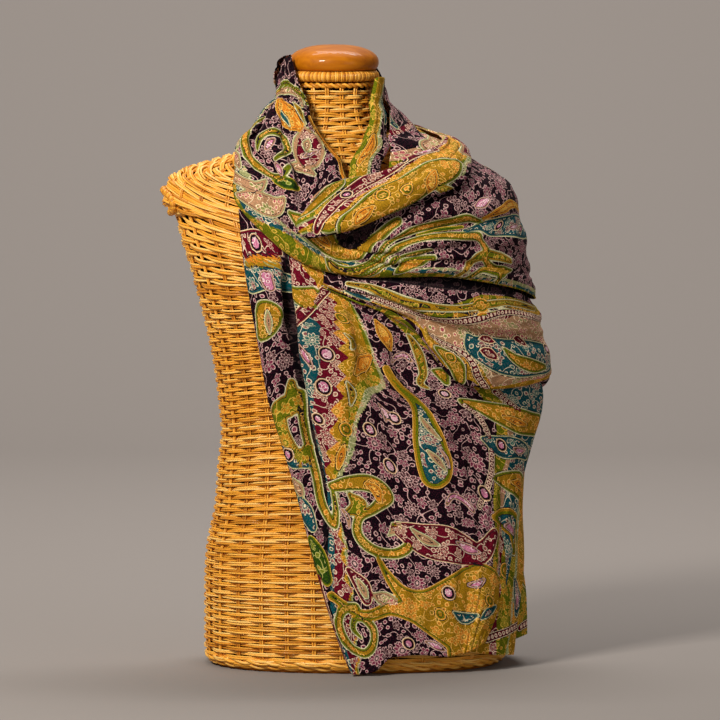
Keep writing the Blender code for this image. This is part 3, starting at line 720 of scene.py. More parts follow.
DRESSES = {
    # name: outer border and its width, inner border and its width, fill, pitch of the rings along it
    "garden boteh": ("mint", 1.8, "tan", 3.4, "burgundy", 0.0),
    "hook": ("mint", 1.3, "olive", 1.8, "gold", 0.0),
    "pool": ("mint", 1.3, "teal", 2.0, "teal", 0.0),
    "bud": ("plum", 0.8, "tan", 1.0, "pink", 0.0),
    "gold leaf": ("mint", 1.5, "olive", 2.3, "gold", 0.0),
    "wine": ("tan", 1.2, "burgundy", 2.0, "burgundy", 0.0),
    "river boteh": ("gold", 3.2, "olive", 3.2, "teal", 0.0),
    # painted shade: a stroke dressed all in the near-black ground, laid along a valley under a fold
    "shade": ("painted shade", 0.8, "painted shade", 0.8, "painted shade", 0.0),
    "sand": ("mint", 1.8, "tan", 2.0, "tan", 0.0),
    "flame": ("gold", 1.4, "orange", 1.6, "orange", 0.0),
    "grass": ("olive", 2.2, "leaf", 2.0, "leaf", 0.0),
    "ring row": ("tan", 0.5, "burgundy", 0.6, "burgundy", 6.0),
    "olive leaf": ("mint", 1.4, "gold", 1.6, "olive", 0.0),
    "rosette": ("tan", 1.5, "plum", 1.9, "pink", 0.0),
    "golden rosette": ("orange", 1.6, "olive", 1.8, "gold", 0.0),
    "cream field": ("gold", 2.4, "olive", 1.6, "gold", 0.0),
}
DRESS_NAMES = tuple(DRESSES)
print(len(GROUNDS), "grounds and", len(DRESSES), "dresses")

# %% [markdown]
# A band gives its ground, where it ends across the cloth at each of the stations along it, and how
# deep the points of its edge are. All of this follows the folds. Strokes lie on the cloth itself: their
# places are millimetres along and across, measured over the folds. A later stroke never hides an
# earlier one, since each point belongs to the stroke that it lies deepest in.

# %% Bands along each stretch
BANDS = {
    "front_end": (
        (0, 50, 100, 137, 162, 184, 207, 229, 252, 274, 300, 340, 420, 500),
        (
            ("plum", (50, 38, 33, 40, 41, 41, 41, 39, 36, 35, 40, 30, 10, 8), 0.0),
            # the next band is painted shade: a near-black strip along the deepest trough of this end
            ("painted shade", (68, 55, 49, 52, 55, 55, 55, 54, 52, 51, 50, 38, 12, 9), 0.0),
            ("teal", (70, 60, 96, 84, 76, 66, 57, 56, 54, 53, 54, 46, 20, 11), 0.0),
            ("burgundy", (94, 138, 117, 112, 104, 94, 83, 76, 66, 56, 58, 57, 44, 24), 12.0),
            ("gold", (150, 168, 165, 154, 133, 110, 97, 85, 76, 66, 59, 59, 45, 25), 1.5),
            ("olive", (156, 178, 180, 170, 151, 124, 109, 94, 83, 72, 61, 60, 45, 25), 0.0),
            ("mint", (160, 183, 186, 178, 161, 131, 115, 99, 88, 76, 64, 62, 46, 26), 0.0),
            ("plum", (250, 254, 260, 263, 265, 267, 269, 271, 273, 275, 280, 290, 300, 300), 0.0),
            ("olive", (268, 271, 277, 281, 283, 286, 288, 291, 293, 295, 300, 310, 318, 318), 3.0),
            ("tan", (276, 279, 285, 289, 291, 294, 296, 299, 301, 303, 308, 318, 326, 326), 0.0),
            ("teal", (400,) * 14, 0.0),
        ),
    ),
    "front_end_second_layer": (
        (0, 290),
        (
            ("gold", (30, 34), 0.0), ("burgundy", (44, 46), 3.0), ("olive", (84, 84), 0.0),
            ("mint", (90, 90), 3.0), ("gold", (200, 200), 0.0),
        ),
    ),
    "side_end": (
        (0, 300),
        (
            ("olive", (40, 40), 0.0), ("gold", (76, 76), 3.0),
            ("burgundy", (92, 92), 3.0), ("plum", (200, 200), 0.0),
        ),
    ),
    "over_shoulder": (
        (0, 120, 190, 240, 300, 420, 520, 700, 900),
        (
            ("gold", (5, 5, 5, 4, 3, 3, 4, 5, 5), 0.0),
            ("plum", (235, 268, 250, 222, 236, 262, 262, 262, 262), 0.0),
            ("mint", (240, 271, 256, 227, 241, 266, 266, 266, 266), 4.0),
            ("teal", (262, 276, 268, 240, 252, 274, 274, 274, 274), 0.0),
            ("olive", (400,) * 9, 0.0),
        ),
    ),
    "right_neck_roll": (
        (0, 60, 150),
        (
            ("olive", (11, 12, 10), 0.0), ("gold", (30, 27, 24), 1.5),
            ("mint", (33, 30, 27), 0.0), ("plum", (60, 60, 60), 0.0),
        ),
    ),
    "neck_wrap": (
        (0, 150, 300),
        (
            ("plum", (46, 46, 34), 0.0), ("burgundy", (58, 58, 44), 4.0), ("plum", (96, 96, 84), 0.0),
            ("tan", (112, 112, 104), 3.0), ("olive", (200, 200, 200), 0.0),
        ),
    ),
    "chest_swag": (
        (0, 30, 50, 75, 100, 130, 160, 205, 780),
        (
            ("tan", (72, 24, 16, 8, 6, 5, 4, 4, 4), 0.0),
            ("olive", (80, 70, 60, 42, 24, 10, 5, 5, 5), 0.0),
            ("mint", (83, 74, 65, 46, 28, 13, 8, 7, 7), 0.0),
            ("burgundy", (90, 92, 88, 68, 52, 38, 30, 18, 18), 3.0),
            ("gold", (96, 104, 122, 120, 118, 114, 112, 110, 110), 0.0),
            ("olive", (100, 108, 126, 126, 124, 120, 118, 116, 116), 0.0),
            ("mint", (101, 110, 128, 131, 131, 128, 126, 124, 124), 5.0),
            ("plum", (200,) * 9, 0.0),
        ),
    ),
    "belly_drape": (
        (0, 60, 100, 145, 184, 210, 254, 324, 560),
        (
            ("plum", (50, 50, 55, 30, 20, 12, 9, 12, 12), 0.0),
            ("olive", (62, 60, 64, 38, 27, 18, 15, 20, 20), 3.0),
            ("gold", (72, 66, 71, 44, 33, 25, 23, 29, 29), 2.0),
            ("burgundy", (80, 74, 79, 50, 38, 31, 29, 36, 36), 0.0),
            ("tan", (84, 84, 96, 92, 94, 128, 120, 112, 112), 0.0),
            ("gold", (90, 92, 112, 116, 124, 140, 132, 126, 126), 3.0),
            ("plum", (124, 124, 140, 142, 150, 160, 160, 160, 160), 0.0),
            ("olive", (200,) * 9, 3.0),
        ),
    ),
}
print(sum(len(bands) for _, bands in BANDS.values()), "bands")

# %% [markdown]
# The strokes of the front come first: the panel at the edge, the large hooked boteh, the scroll below
# it, and the wide golden field that curls into a spiral at the corner.

# %% Strokes on the front end and the layers under it
FRONT_STROKES = (
    ("wine", (33, 4, 24), (23, 26, 24), (15, 50, 22)),
    ("flame", (45, 6, 8), (34, 30, 8), (30, 50, 8)),
    ("olive leaf", (51, 4, 6), (42, 30, 6), (39, 50, 6)),
    ("pool", (66, 6, 27), (57, 30, 27), (55, 54, 27)),
    ("gold leaf", (101, 34, 12), (97, 24, 30), (111, 18, 30), (119, 8, 14)),
    ("olive leaf", (178, 36, 10), (202, 26, 24), (202, 12, 26), (218, 8, 22), (260, 22, 18), (249, 32, 12)),
    ("pool", (246, 0, 26), (269, 24, 8)),
    ("hook", (190, 40, 9), (237, 33, 10), (280, 31, 11), (322, 30, 12), (337, 36, 12), (321, 44, 9),
     (301, 47, 8)),
    ("sand", (279, 4, 9), (287, 6, 14), (296, 8, 9)),
    ("pool", (303, 5, 12), (318, 7, 20), (336, 11, 12)),
    ("grass", (350, 5, 12), (370, 8, 22), (394, 12, 14)),
    ("ring row", (192, 239, 7), (209, 249, 7), (229, 254, 7), (252, 252, 7), (277, 244, 7), (301, 229, 7),
     (321, 214, 7)),
    ("gold leaf", (55, 66, 14), (59, 82, 30), (39, 102, 14)),
    ("wine", (34, 116, 12), (65, 90, 14), (102, 60, 12)),
    ("flame", (166, 116, 5), (140, 134, 17), (116, 152, 7)),
    ("hook", (293, 48, 12), (288, 70, 18), (294, 94, 21), (307, 106, 19), (321, 88, 13), (329, 68, 11),
     (344, 62, 12), (366, 74, 13), (374, 98, 13), (359, 118, 11), (345, 117, 8), (340, 105, 6)),
    ("olive leaf", (301, 66, 8), (315, 72, 20), (321, 58, 10)),
    ("river boteh", (128, 169, 7), (157, 177, 9), (182, 185, 14), (214, 183, 26), (246, 178, 38),
     (277, 172, 38), (284, 168, 30)),
    ("olive leaf", (85, 200, 6), (102, 206, 10), (120, 211, 12), (140, 212, 11), (156, 204, 9),
     (163, 210, 6)),
    ("bud", (122, 177, 5), (114, 184, 8), (112, 193, 8), (122, 201, 5)),
    ("flame", (64, 168, 5), (82, 172, 17), (104, 177, 5)),
    ("gold leaf", (137, 224, 6), (143, 232, 16), (158, 234, 8)),
    ("cream field", (373, 76, 5), (396, 82, 10), (421, 94, 20), (438, 116, 44), (438, 150, 64),
     (429, 194, 84)),
    ("cream field", (411, 12, 9), (429, 32, 11), (436, 56, 15), (438, 84, 22), (443, 102, 30),
     (456, 119, 34), (474, 138, 32)),
    ("cream field", (438, 140, 40), (462, 156, 54), (486, 161, 68), (512, 162, 76)),
    ("hook", (426, 36, 13), (426, 24, 12), (436, 14, 11), (453, 12, 11), (469, 20, 11), (474, 34, 11),
     (465, 46, 11), (449, 49, 10), (438, 42, 9), (438, 32, 8), (449, 27, 7), (457, 33, 5)),
    ("wine", (390, 2, 7), (416, 0, 8), (449, 2, 10)),
    ("sand", (414, 60, 5), (424, 72, 17), (434, 86, 8)),
    ("wine", (386, 40, 8), (402, 50, 20), (418, 52, 12)),
    ("wine", (345, 108, 16), (355, 132, 38), (367, 164, 44), (376, 196, 26), (348, 228, 12)),
    ("sand", (353, 96, 4), (343, 112, 14), (356, 122, 6)),
    ("bud", (319, 172, 5), (309, 182, 8), (315, 196, 8), (327, 204, 6)),
    ("gold leaf", (187, 240, 10), (203, 268, 26), (215, 296, 34), (234, 330, 30)),
    ("ring row", (178, 286, 8), (203, 304, 8), (230, 330, 8)),
    ("pool", (240, 246, 8), (247, 262, 24), (250, 288, 26), (262, 306, 16)),
    ("gold leaf", (284, 246, 8), (288, 270, 26), (295, 290, 30), (314, 300, 22)),
    ("river boteh", (330, 232, 8), (330, 252, 26), (333, 268, 30), (349, 266, 18)),
)
SECOND_LAYER_STROKES = (
    ("flame", (60, 60, 6), (76, 64, 17), (97, 62, 8)),
    ("olive leaf", (123, 46, 8), (146, 60, 26), (168, 70, 12)),
    ("golden rosette", (194, 50, 15), (196, 50, 15)),
    ("pool", (199, 74, 8), (215, 80, 20), (238, 76, 8)),
    ("ring row", (274, 24, 9), (260, 60, 9), (237, 110, 9)),
)
SIDE_END_STROKES = (
    ("gold leaf", (32, 30, 8), (63, 44, 30), (93, 60, 20), (104, 76, 8)),
    ("river boteh", (114, 110, 10), (148, 96, 32), (180, 90, 34), (206, 100, 14)),
    ("hook", (201, 30, 8), (219, 20, 12), (239, 26, 14), (245, 44, 13), (230, 54, 9)),
    ("wine", (231, 96, 8), (249, 110, 30), (264, 126, 14)),
    ("ring row", (289, 6, 9), (287, 70, 9), (275, 140, 9)),
)
print(len(FRONT_STROKES), "strokes on the front end")

# %% [markdown]
# Beside the neck the strokes are crowded: an arch, a wine coloured boteh with a broad border, a hook
# round a bud. A double golden band sweeps over the shoulder, and larger botehs go down the back.

# %% Strokes round the neck, over the shoulder and down the back
SHOULDER_STROKES = (
    # this first stroke is painted shade, in the hollow under the roll of the swag
    ("shade", (262, 26, 10), (275, 24, 20), (290, 20, 24), (305, 14, 22), (318, 8, 14)),
    ("hook", (42, 62, 8), (27, 34, 8), (40, 12, 8), (72, 1, 8)),
    ("sand", (50, 72, 8), (34, 49, 11), (39, 27, 12), (50, 13, 11), (70, 11, 8)),
    ("flame", (58, 44, 10), (73, 38, 25), (88, 30, 27), (97, 24, 14)),
    ("garden boteh", (100, 18, 7), (114, 20, 24), (128, 24, 36), (140, 32, 34), (149, 42, 16)),
    ("sand", (141, 56, 6), (150, 49, 14), (164, 42, 7)),
    ("grass", (158, 92, 8), (163, 80, 16), (173, 66, 8)),
    ("hook", (116, 88, 5), (105, 79, 9), (101, 64, 10), (110, 49, 10), (124, 49, 9), (128, 60, 8),
     (132, 72, 6)),
    ("hook", (71, 76, 6), (70, 92, 10), (91, 100, 12), (111, 102, 12), (132, 101, 12), (151, 93, 11),
     (154, 77, 9), (144, 64, 6)),
    ("sand", (126, 132, 8), (153, 130, 17), (161, 116, 15), (157, 104, 6)),
    ("sand", (170, 146, 12), (175, 126, 24), (186, 106, 24), (181, 90, 10)),
    ("sand", (95, 122, 7), (118, 118, 14), (132, 119, 7)),
    ("flame", (93, 4, 6), (128, 3, 7), (162, 3, 7), (197, 5, 6)),
    ("gold leaf", (197, 88, 8), (213, 76, 20), (238, 62, 24), (261, 44, 24), (348, 28, 14)),
    ("hook", (265, 62, 8), (347, 46, 10), (381, 43, 12), (409, 43, 13), (432, 47, 13), (443, 59, 8)),
    ("hook", (375, 78, 8), (266, 66, 10), (352, 60, 11), (374, 60, 12), (409, 67, 12), (441, 83, 12),
     (439, 120, 12), (470, 164, 12)),
    ("pool", (422, 63, 7), (444, 68, 14), (467, 84, 24), (499, 104, 30), (533, 128, 30), (557, 144, 20)),
    ("flame", (449, 58, 5), (488, 70, 11), (528, 84, 14), (544, 104, 14)),
    ("bud", (452, 42, 5), (465, 45, 13), (480, 49, 7)),
    ("gold leaf", (351, 88, 6), (342, 90, 20), (375, 91, 8)),
    ("olive leaf", (398, 138, 5), (409, 122, 9), (418, 108, 11), (436, 108, 11), (454, 122, 11),
     (480, 152, 7)),
    ("hook", (404, 148, 7), (416, 134, 9), (432, 126, 11), (448, 138, 12), (462, 160, 12), (454, 168, 9)),
    ("garden boteh", (566, 32, 10), (583, 40, 32), (595, 56, 40), (603, 76, 26), (600, 92, 10)),
    ("hook", (635, 30, 9), (642, 40, 15), (650, 60, 18), (651, 88, 18), (630, 106, 14), (626, 94, 9)),
    ("river boteh", (613, 140, 8), (640, 140, 24), (671, 132, 42), (707, 120, 44), (728, 110, 22)),
    ("gold leaf", (680, 30, 8), (695, 40, 34), (720, 56, 34), (743, 76, 14)),
    ("pool", (569, 170, 8), (585, 180, 26), (598, 190, 26), (611, 196, 10)),
    ("cream field", (756, 20, 10), (769, 40, 40), (809, 70, 60), (852, 110, 70)),
    ("garden boteh", (706, 160, 10), (737, 156, 34), (774, 150, 38), (813, 142, 14)),
    ("hook", (654, 180, 9), (686, 190, 14), (724, 196, 16), (749, 186, 13), (738, 176, 8)),
    ("hook", (852, 20, 9), (861, 34, 13), (866, 54, 13), (864, 66, 10), (847, 54, 7)),
)
NECK_STROKES = (
    ("gold leaf", (58, 60, 6), (72, 64, 20), (90, 66, 22), (114, 60, 8)),
    ("river boteh", (120, 84, 6), (134, 86, 24), (151, 84, 26), (170, 76, 10)),
    ("garden boteh", (177, 30, 8), (195, 34, 24), (207, 40, 22), (210, 48, 8)),
    ("hook", (192, 70, 5), (214, 60, 9), (230, 60, 10), (213, 72, 9), (194, 80, 6)),
    ("sand", (204, 84, 6), (209, 86, 18), (263, 90, 16), (253, 94, 8)),
    ("pool", (295, 30, 6), (317, 40, 16), (284, 54, 8)),
    ("hook", (299, 50, 6), (313, 60, 10), (307, 70, 11), (305, 84, 9)),
)
print(len(SHOULDER_STROKES), "strokes over the shoulder and", len(NECK_STROKES), "round the neck")

# %% [markdown]
# The swag over the chest is mostly one golden roll with a wine coloured stripe above it. The drape over
# the belly has rows of rings along both its edges, and a green pool with red leaves between them.

# %% Strokes on the neck roll, the swag and the belly drape
ROLL_STROKES = (
    ("pool", (31, 22, 5), (42, 26, 12), (61, 24, 6)),
    ("flame", (77, 12, 5), (95, 13, 11), (117, 11, 5)),
)
SWAG_STROKES = (
    ("gold leaf", (5, 54, 8), (25, 46, 18), (43, 30, 19), (70, 13, 12)),
    ("wine", (38, 76, 6), (51, 56, 13), (70, 34, 16), (105, 17, 15), (143, 11, 13), (176, 10, 12),
     (211, 10, 10)),
    ("gold leaf", (59, 86, 8), (71, 76, 24), (90, 65, 34), (119, 54, 40), (161, 52, 42), (196, 46, 34),
     (216, 42, 14)),
    ("olive leaf", (172, 62, 8), (190, 74, 13), (211, 84, 5)),
    ("pool", (143, 3, 4), (173, 2, 6), (215, 3, 4)),
    ("garden boteh", (242, 30, 8), (264, 38, 28), (327, 50, 34), (350, 62, 12)),
    ("hook", (378, 20, 8), (379, 28, 14), (382, 46, 16), (386, 66, 14), (388, 68, 9)),
    ("river boteh", (437, 30, 8), (451, 40, 26), (475, 54, 36), (496, 70, 16)),
    ("gold leaf", (536, 90, 8), (559, 80, 34), (598, 70, 36), (629, 62, 12)),
    ("garden boteh", (661, 40, 8), (675, 50, 30), (684, 62, 14)),
)
BELLY_STROKES = (
    # this first stroke is painted shade, along the valley under the swag at the drape's top edge
    ("shade", (36, 4, 8), (70, 5, 14), (100, 6, 20), (140, 6, 23), (179, 5, 22), (224, 3, 18), (264, 1, 9)),
    ("ring row", (30, 25, 7), (58, 33, 8), (83, 44, 8), (122, 54, 8), (177, 55, 8), (199, 50, 8),
     (251, 33, 8), (309, 33, 8), (366, 36, 8), (448, 34, 8), (537, 30, 8)),
    ("ring row", (104, 67, 6), (150, 84, 8), (180, 101, 8), (187, 120, 8), (209, 143, 8)),
    ("olive leaf", (34, 15, 7), (63, 22, 9), (92, 33, 9), (130, 42, 9), (180, 40, 9), (215, 30, 12),
     (253, 20, 10), (318, 18, 8)),
    ("golden rosette", (209, 31, 19), (211, 31, 19)),
    ("pool", (26, 26, 5), (42, 31, 9), (55, 38, 5)),
    ("pool", (187, 74, 6), (192, 86, 24), (207, 94, 40), (230, 98, 46), (262, 96, 44), (293, 94, 34),
     (314, 92, 10)),
    ("gold leaf", (138, 94, 6), (151, 102, 18), (162, 112, 24), (167, 130, 16)),
    ("river boteh", (377, 60, 8), (401, 70, 30), (465, 84, 38), (497, 96, 14)),
    ("hook", (324, 110, 8), (360, 120, 12), (396, 112, 13), (393, 98, 8)),
    ("garden boteh", (517, 60, 8), (539, 70, 24), (552, 80, 12)),
)
MOTIFS = {
    "front_end": FRONT_STROKES,
    "front_end_second_layer": SECOND_LAYER_STROKES,
    "side_end": SIDE_END_STROKES,
    "over_shoulder": SHOULDER_STROKES,
    "right_neck_roll": ROLL_STROKES,
    "neck_wrap": NECK_STROKES,
    "chest_swag": SWAG_STROKES,
    "belly_drape": BELLY_STROKES,
}
print(sum(len(rows) for rows in MOTIFS.values()), "strokes in all")

# %% [markdown]
# Small strokes lie on the larger ones: buds and leaves inside the botehs, and round flowers with three
# rings of colour, each a stroke so short that it is a disc.

# %% Sprigs on the strokes
SPRIGS = {
    "front_end": (
        ("rosette", (25, 22, 17), (26, 22, 17)),
        ("bud", (53, 38, 5), (57, 31, 15), (69, 31, 11), (68, 26, 5)), ("bud", (69, 12, 6), (71, 12, 6)),
        ("sand", (95, 22, 4), (107, 21, 9), (120, 20, 4)), ("rosette", (247, 6, 15), (249, 6, 15)),
        ("bud", (318, 52, 4), (328, 56, 6), (338, 54, 4)), ("rosette", (140, 89, 19), (141, 89, 19)),
        ("rosette", (179, 77, 18), (180, 77, 18)), ("rosette", (214, 60, 13), (215, 60, 13)),
        ("golden rosette", (72, 124, 14), (74, 124, 14)),
        ("olive leaf", (102, 118, 4), (113, 124, 10), (130, 118, 4)),
        ("olive leaf", (175, 104, 4), (189, 106, 10), (202, 100, 4)),
        ("golden rosette", (226, 86, 13), (229, 86, 13)),
        ("flame", (244, 78, 4), (257, 70, 9), (271, 62, 4)),
        ("bud", (131, 62, 4), (144, 66, 9), (157, 70, 4)),
        ("sand", (207, 180, 4), (222, 184, 9), (238, 192, 4)),
        ("sand", (251, 172, 4), (263, 178, 10), (278, 184, 4)),
        ("bud", (249, 186, 3), (262, 190, 5), (275, 190, 3)),
        ("flame", (292, 88, 6), (301, 96, 12), (313, 96, 6)), ("rosette", (421, 146, 15), (423, 146, 15)),
        ("bud", (414, 174, 4), (414, 184, 9), (407, 195, 4)),
        ("golden rosette", (445, 130, 12), (447, 130, 12)),
        ("pool", (444, 146, 4), (453, 158, 15), (451, 174, 6)),
        ("pool", (456, 178, 4), (448, 190, 12), (440, 204, 5)),
        ("golden rosette", (432, 196, 12), (434, 196, 12)),
        ("sand", (343, 124, 4), (357, 138, 12), (365, 150, 4)),
        ("bud", (364, 172, 4), (372, 186, 12), (375, 198, 4)),
        ("sand", (397, 48, 7), (406, 51, 10), (414, 52, 6)), ("rosette", (209, 150, 15), (211, 150, 15)),
        ("rosette", (271, 122, 16), (273, 122, 16)), ("rosette", (231, 112, 15), (233, 112, 15)),
        ("bud", (194, 138, 4), (204, 142, 9), (215, 138, 4)), ("rosette", (245, 268, 14), (247, 268, 14)),
        ("bud", (250, 284, 4), (255, 292, 10), (257, 302, 4)),
        ("flame", (212, 282, 4), (218, 298, 10), (226, 312, 4)),
        ("rosette", (303, 226, 16), (305, 226, 16)), ("rosette", (173, 226, 14), (175, 226, 14)),
        ("rosette", (480, 84, 14), (482, 84, 14)), ("bud", (479, 104, 4), (484, 116, 10), (488, 124, 4)),
        ("flame", (289, 272, 4), (292, 286, 10), (298, 294, 4)),
        ("bud", (336, 250, 4), (337, 262, 10), (341, 264, 4)),
    ),
    "front_end_second_layer": (
        ("flame", (136, 54, 4), (148, 62, 10), (158, 66, 4)),
        ("bud", (209, 78, 4), (217, 80, 8), (230, 77, 4)),
    ),
    "side_end": (
        ("flame", (57, 42, 5), (69, 48, 12), (83, 56, 5)),
        ("bud", (148, 94, 5), (168, 90, 12), (186, 94, 5)),
    ),
    "over_shoulder": (
        ("bud", (110, 62, 4), (112, 68, 9), (117, 76, 5)),
        ("bud", (137, 74, 5), (144, 76, 11), (152, 78, 6)),
        ("sand", (120, 20, 4), (126, 26, 12), (132, 32, 5)),
        ("bud", (138, 20, 4), (137, 30, 7), (141, 38, 4)), ("pool", (72, 42, 3), (83, 38, 7), (94, 34, 3)),
        ("olive leaf", (62, 24, 3), (75, 18, 8), (97, 14, 3)),
        ("grass", (367, 52, 4), (396, 51, 7), (421, 55, 5)), ("rosette", (471, 86, 12), (474, 86, 12)),
        ("bud", (493, 102, 4), (505, 110, 10), (517, 114, 4)), ("rosette", (525, 126, 13), (527, 126, 13)),
        ("flame", (223, 70, 4), (242, 60, 10), (258, 48, 4)),
        ("bud", (584, 40, 5), (593, 52, 14), (599, 66, 5)),
        ("bud", (651, 136, 5), (674, 130, 16), (703, 120, 6)),
        ("flame", (693, 40, 5), (708, 50, 14), (730, 64, 5)), ("rosette", (780, 56, 18), (782, 56, 18)),
        ("pool", (801, 76, 6), (816, 94, 20), (844, 112, 8)),
        ("sand", (737, 154, 5), (760, 152, 14), (785, 148, 5)), ("rosette", (626, 66, 17), (627, 66, 17)),
        ("rosette", (599, 186, 14), (601, 186, 14)), ("rosette", (573, 130, 16), (575, 130, 16)),
    ),
    "right_neck_roll": (),
    "neck_wrap": (
        ("flame", (74, 64, 3), (86, 66, 9), (99, 63, 3)),
        ("bud", (135, 86, 4), (148, 84, 10), (159, 80, 4)),
        ("sand", (191, 34, 3), (199, 37, 9), (205, 41, 3)),
    ),
    "chest_swag": (
        ("flame", (77, 74, 4), (87, 66, 13), (99, 60, 5)),
        ("flame", (168, 70, 4), (174, 60, 16), (181, 48, 5)),
        ("golden rosette", (113, 48, 15), (114, 48, 15)), ("golden rosette", (140, 52, 14), (142, 52, 14)),
        ("rosette", (74, 30, 13), (76, 30, 13)), ("rosette", (158, 10, 10), (160, 10, 10)),
        ("bud", (178, 11, 4), (192, 10, 8), (207, 10, 4)),
        ("bud", (256, 36, 5), (308, 44, 12), (328, 52, 5)),
        ("bud", (454, 42, 5), (467, 52, 13), (481, 60, 5)),
        ("flame", (559, 80, 5), (582, 74, 14), (605, 68, 5)),
    ),
    "belly_drape": (
        ("wine", (201, 78, 5), (209, 78, 12), (215, 80, 5)),
        ("wine", (198, 92, 5), (206, 95, 14), (213, 100, 6)),
        ("wine", (247, 74, 5), (253, 76, 13), (258, 82, 5)),
        ("hook", (224, 88, 5), (236, 100, 14), (255, 106, 18), (284, 106, 8)),
        ("golden rosette", (157, 104, 12), (160, 104, 12)), ("rosette", (300, 84, 14), (302, 84, 14)),
        ("bud", (401, 70, 5), (423, 78, 13), (469, 86, 5)),
        ("bud", (339, 70, 4), (344, 74, 9), (349, 76, 4)),
    ),
}
print(sum(len(rows) for rows in SPRIGS.values()), "sprigs")

# %% [markdown]
# A stroke is cut in short lengths, each with a radius at its two ends. Each point of the cloth keeps the
# numbers of the stroke that it lies deepest in: how far it is from the outline, less than nought
# inside, how far it is from the middle line, how far along that line it is, and the stroke's dress.

# %% How far each point is from the design
FAR = 40.0  # no distance to an outline is kept larger than this
LENGTH, MOST_LENGTHS = 4, 60  # a stroke is cut in lengths of about 4 mm
LEAST_RADIUS = 0.8  # a stroke is never thinner than twice this
POINT_PITCH = 24.0  # from one point of a band's edge to the next
EDGE_SWAY, SWAY_LENGTH = 1.2, 9.0  # how far the edge of a band sways, and how slowly
LEAST_BAND = 0.05  # a band is never narrower


def stroke_line(stops):
    """Even places along the smooth line through the stops, with their radii, and the run to each place."""
    stops = np.array(stops, float)
    run = run_of(steps_between(stops[:, :2], 0))
    count = int(np.clip(run[-1] / LENGTH, 2, MOST_LENGTHS))
    line = read_curve(run, stops, np.linspace(0.0, run[-1], count + 1), flowing_slopes)
    line[:, 2] = np.maximum(line[:, 2] / 2, LEAST_RADIUS)
    return line, np.linspace(0.0, run[-1], count + 1)


def nearest_stroke(u, v, strokes):
    """Distance to the outline, distance to the middle line, length run, and number of the dress."""
    outline, middle = np.full(u.shape, FAR), np.full(u.shape, FAR)
    length_run, dress = np.zeros(u.shape), np.zeros(u.shape)
    for name, *stops in strokes:
        line, run = stroke_line(stops)
        for start, end, from_run, to_run in zip(line, line[1:], run, run[1:]):
            step_u, step_v, growth = end - start
            from_u, from_v = u - start[0], v - start[1]
            share = np.clip((from_u * step_u + from_v * step_v) / (step_u**2 + step_v**2), 0, 1)
            away = np.hypot(from_u - share * step_u, from_v - share * step_v)
            here = away - start[2] - share * growth
            nearer = here < outline
            outline[nearer] = here[nearer]
            middle[nearer] = away[nearer]
            length_run[nearer] = (from_run + share * (to_run - from_run))[nearer]
            dress[nearer] = DRESS_NAMES.index(name)
    return outline, middle, length_run, dress


def band_number(name, u, v):
    """Which band a point is in, as a number that runs on evenly from one edge of a band to the next."""
    stations, bands = BANDS[name]
    number = np.zeros_like(v)
    lower = np.zeros_like(v)
    tooth = np.abs((u / POINT_PITCH) % 1.0 - 0.5) * 2 - 0.5
    for count, (_, ends, points) in enumerate(bands):
        upper = np.interp(u, stations, ends) + points * tooth
        if count > 0:
            upper = upper + EDGE_SWAY * np.sin(u / SWAY_LENGTH + 2.0 * count)
        upper = np.maximum(upper, lower + LEAST_BAND)
        share = np.clip((v - lower) / (upper - lower), 0, 1)
        number = np.where(v >= lower, count + share, number)
        lower = upper
    return number


print("the first stroke is cut in", len(stroke_line(FRONT_STROKES[0][1:])[1]) - 1, "lengths")

# %% [markdown]
# Finishes are built from nodes. A small helper keeps that readable: it adds a node, fills its inputs
# with numbers or with other nodes' outputs, and gives back what comes out.

# %% A helper for wiring nodes
RAMP_STEPS = 16.0  # a ramp with constant steps keeps one choice in each
RELIEF = 0.0002  # metres


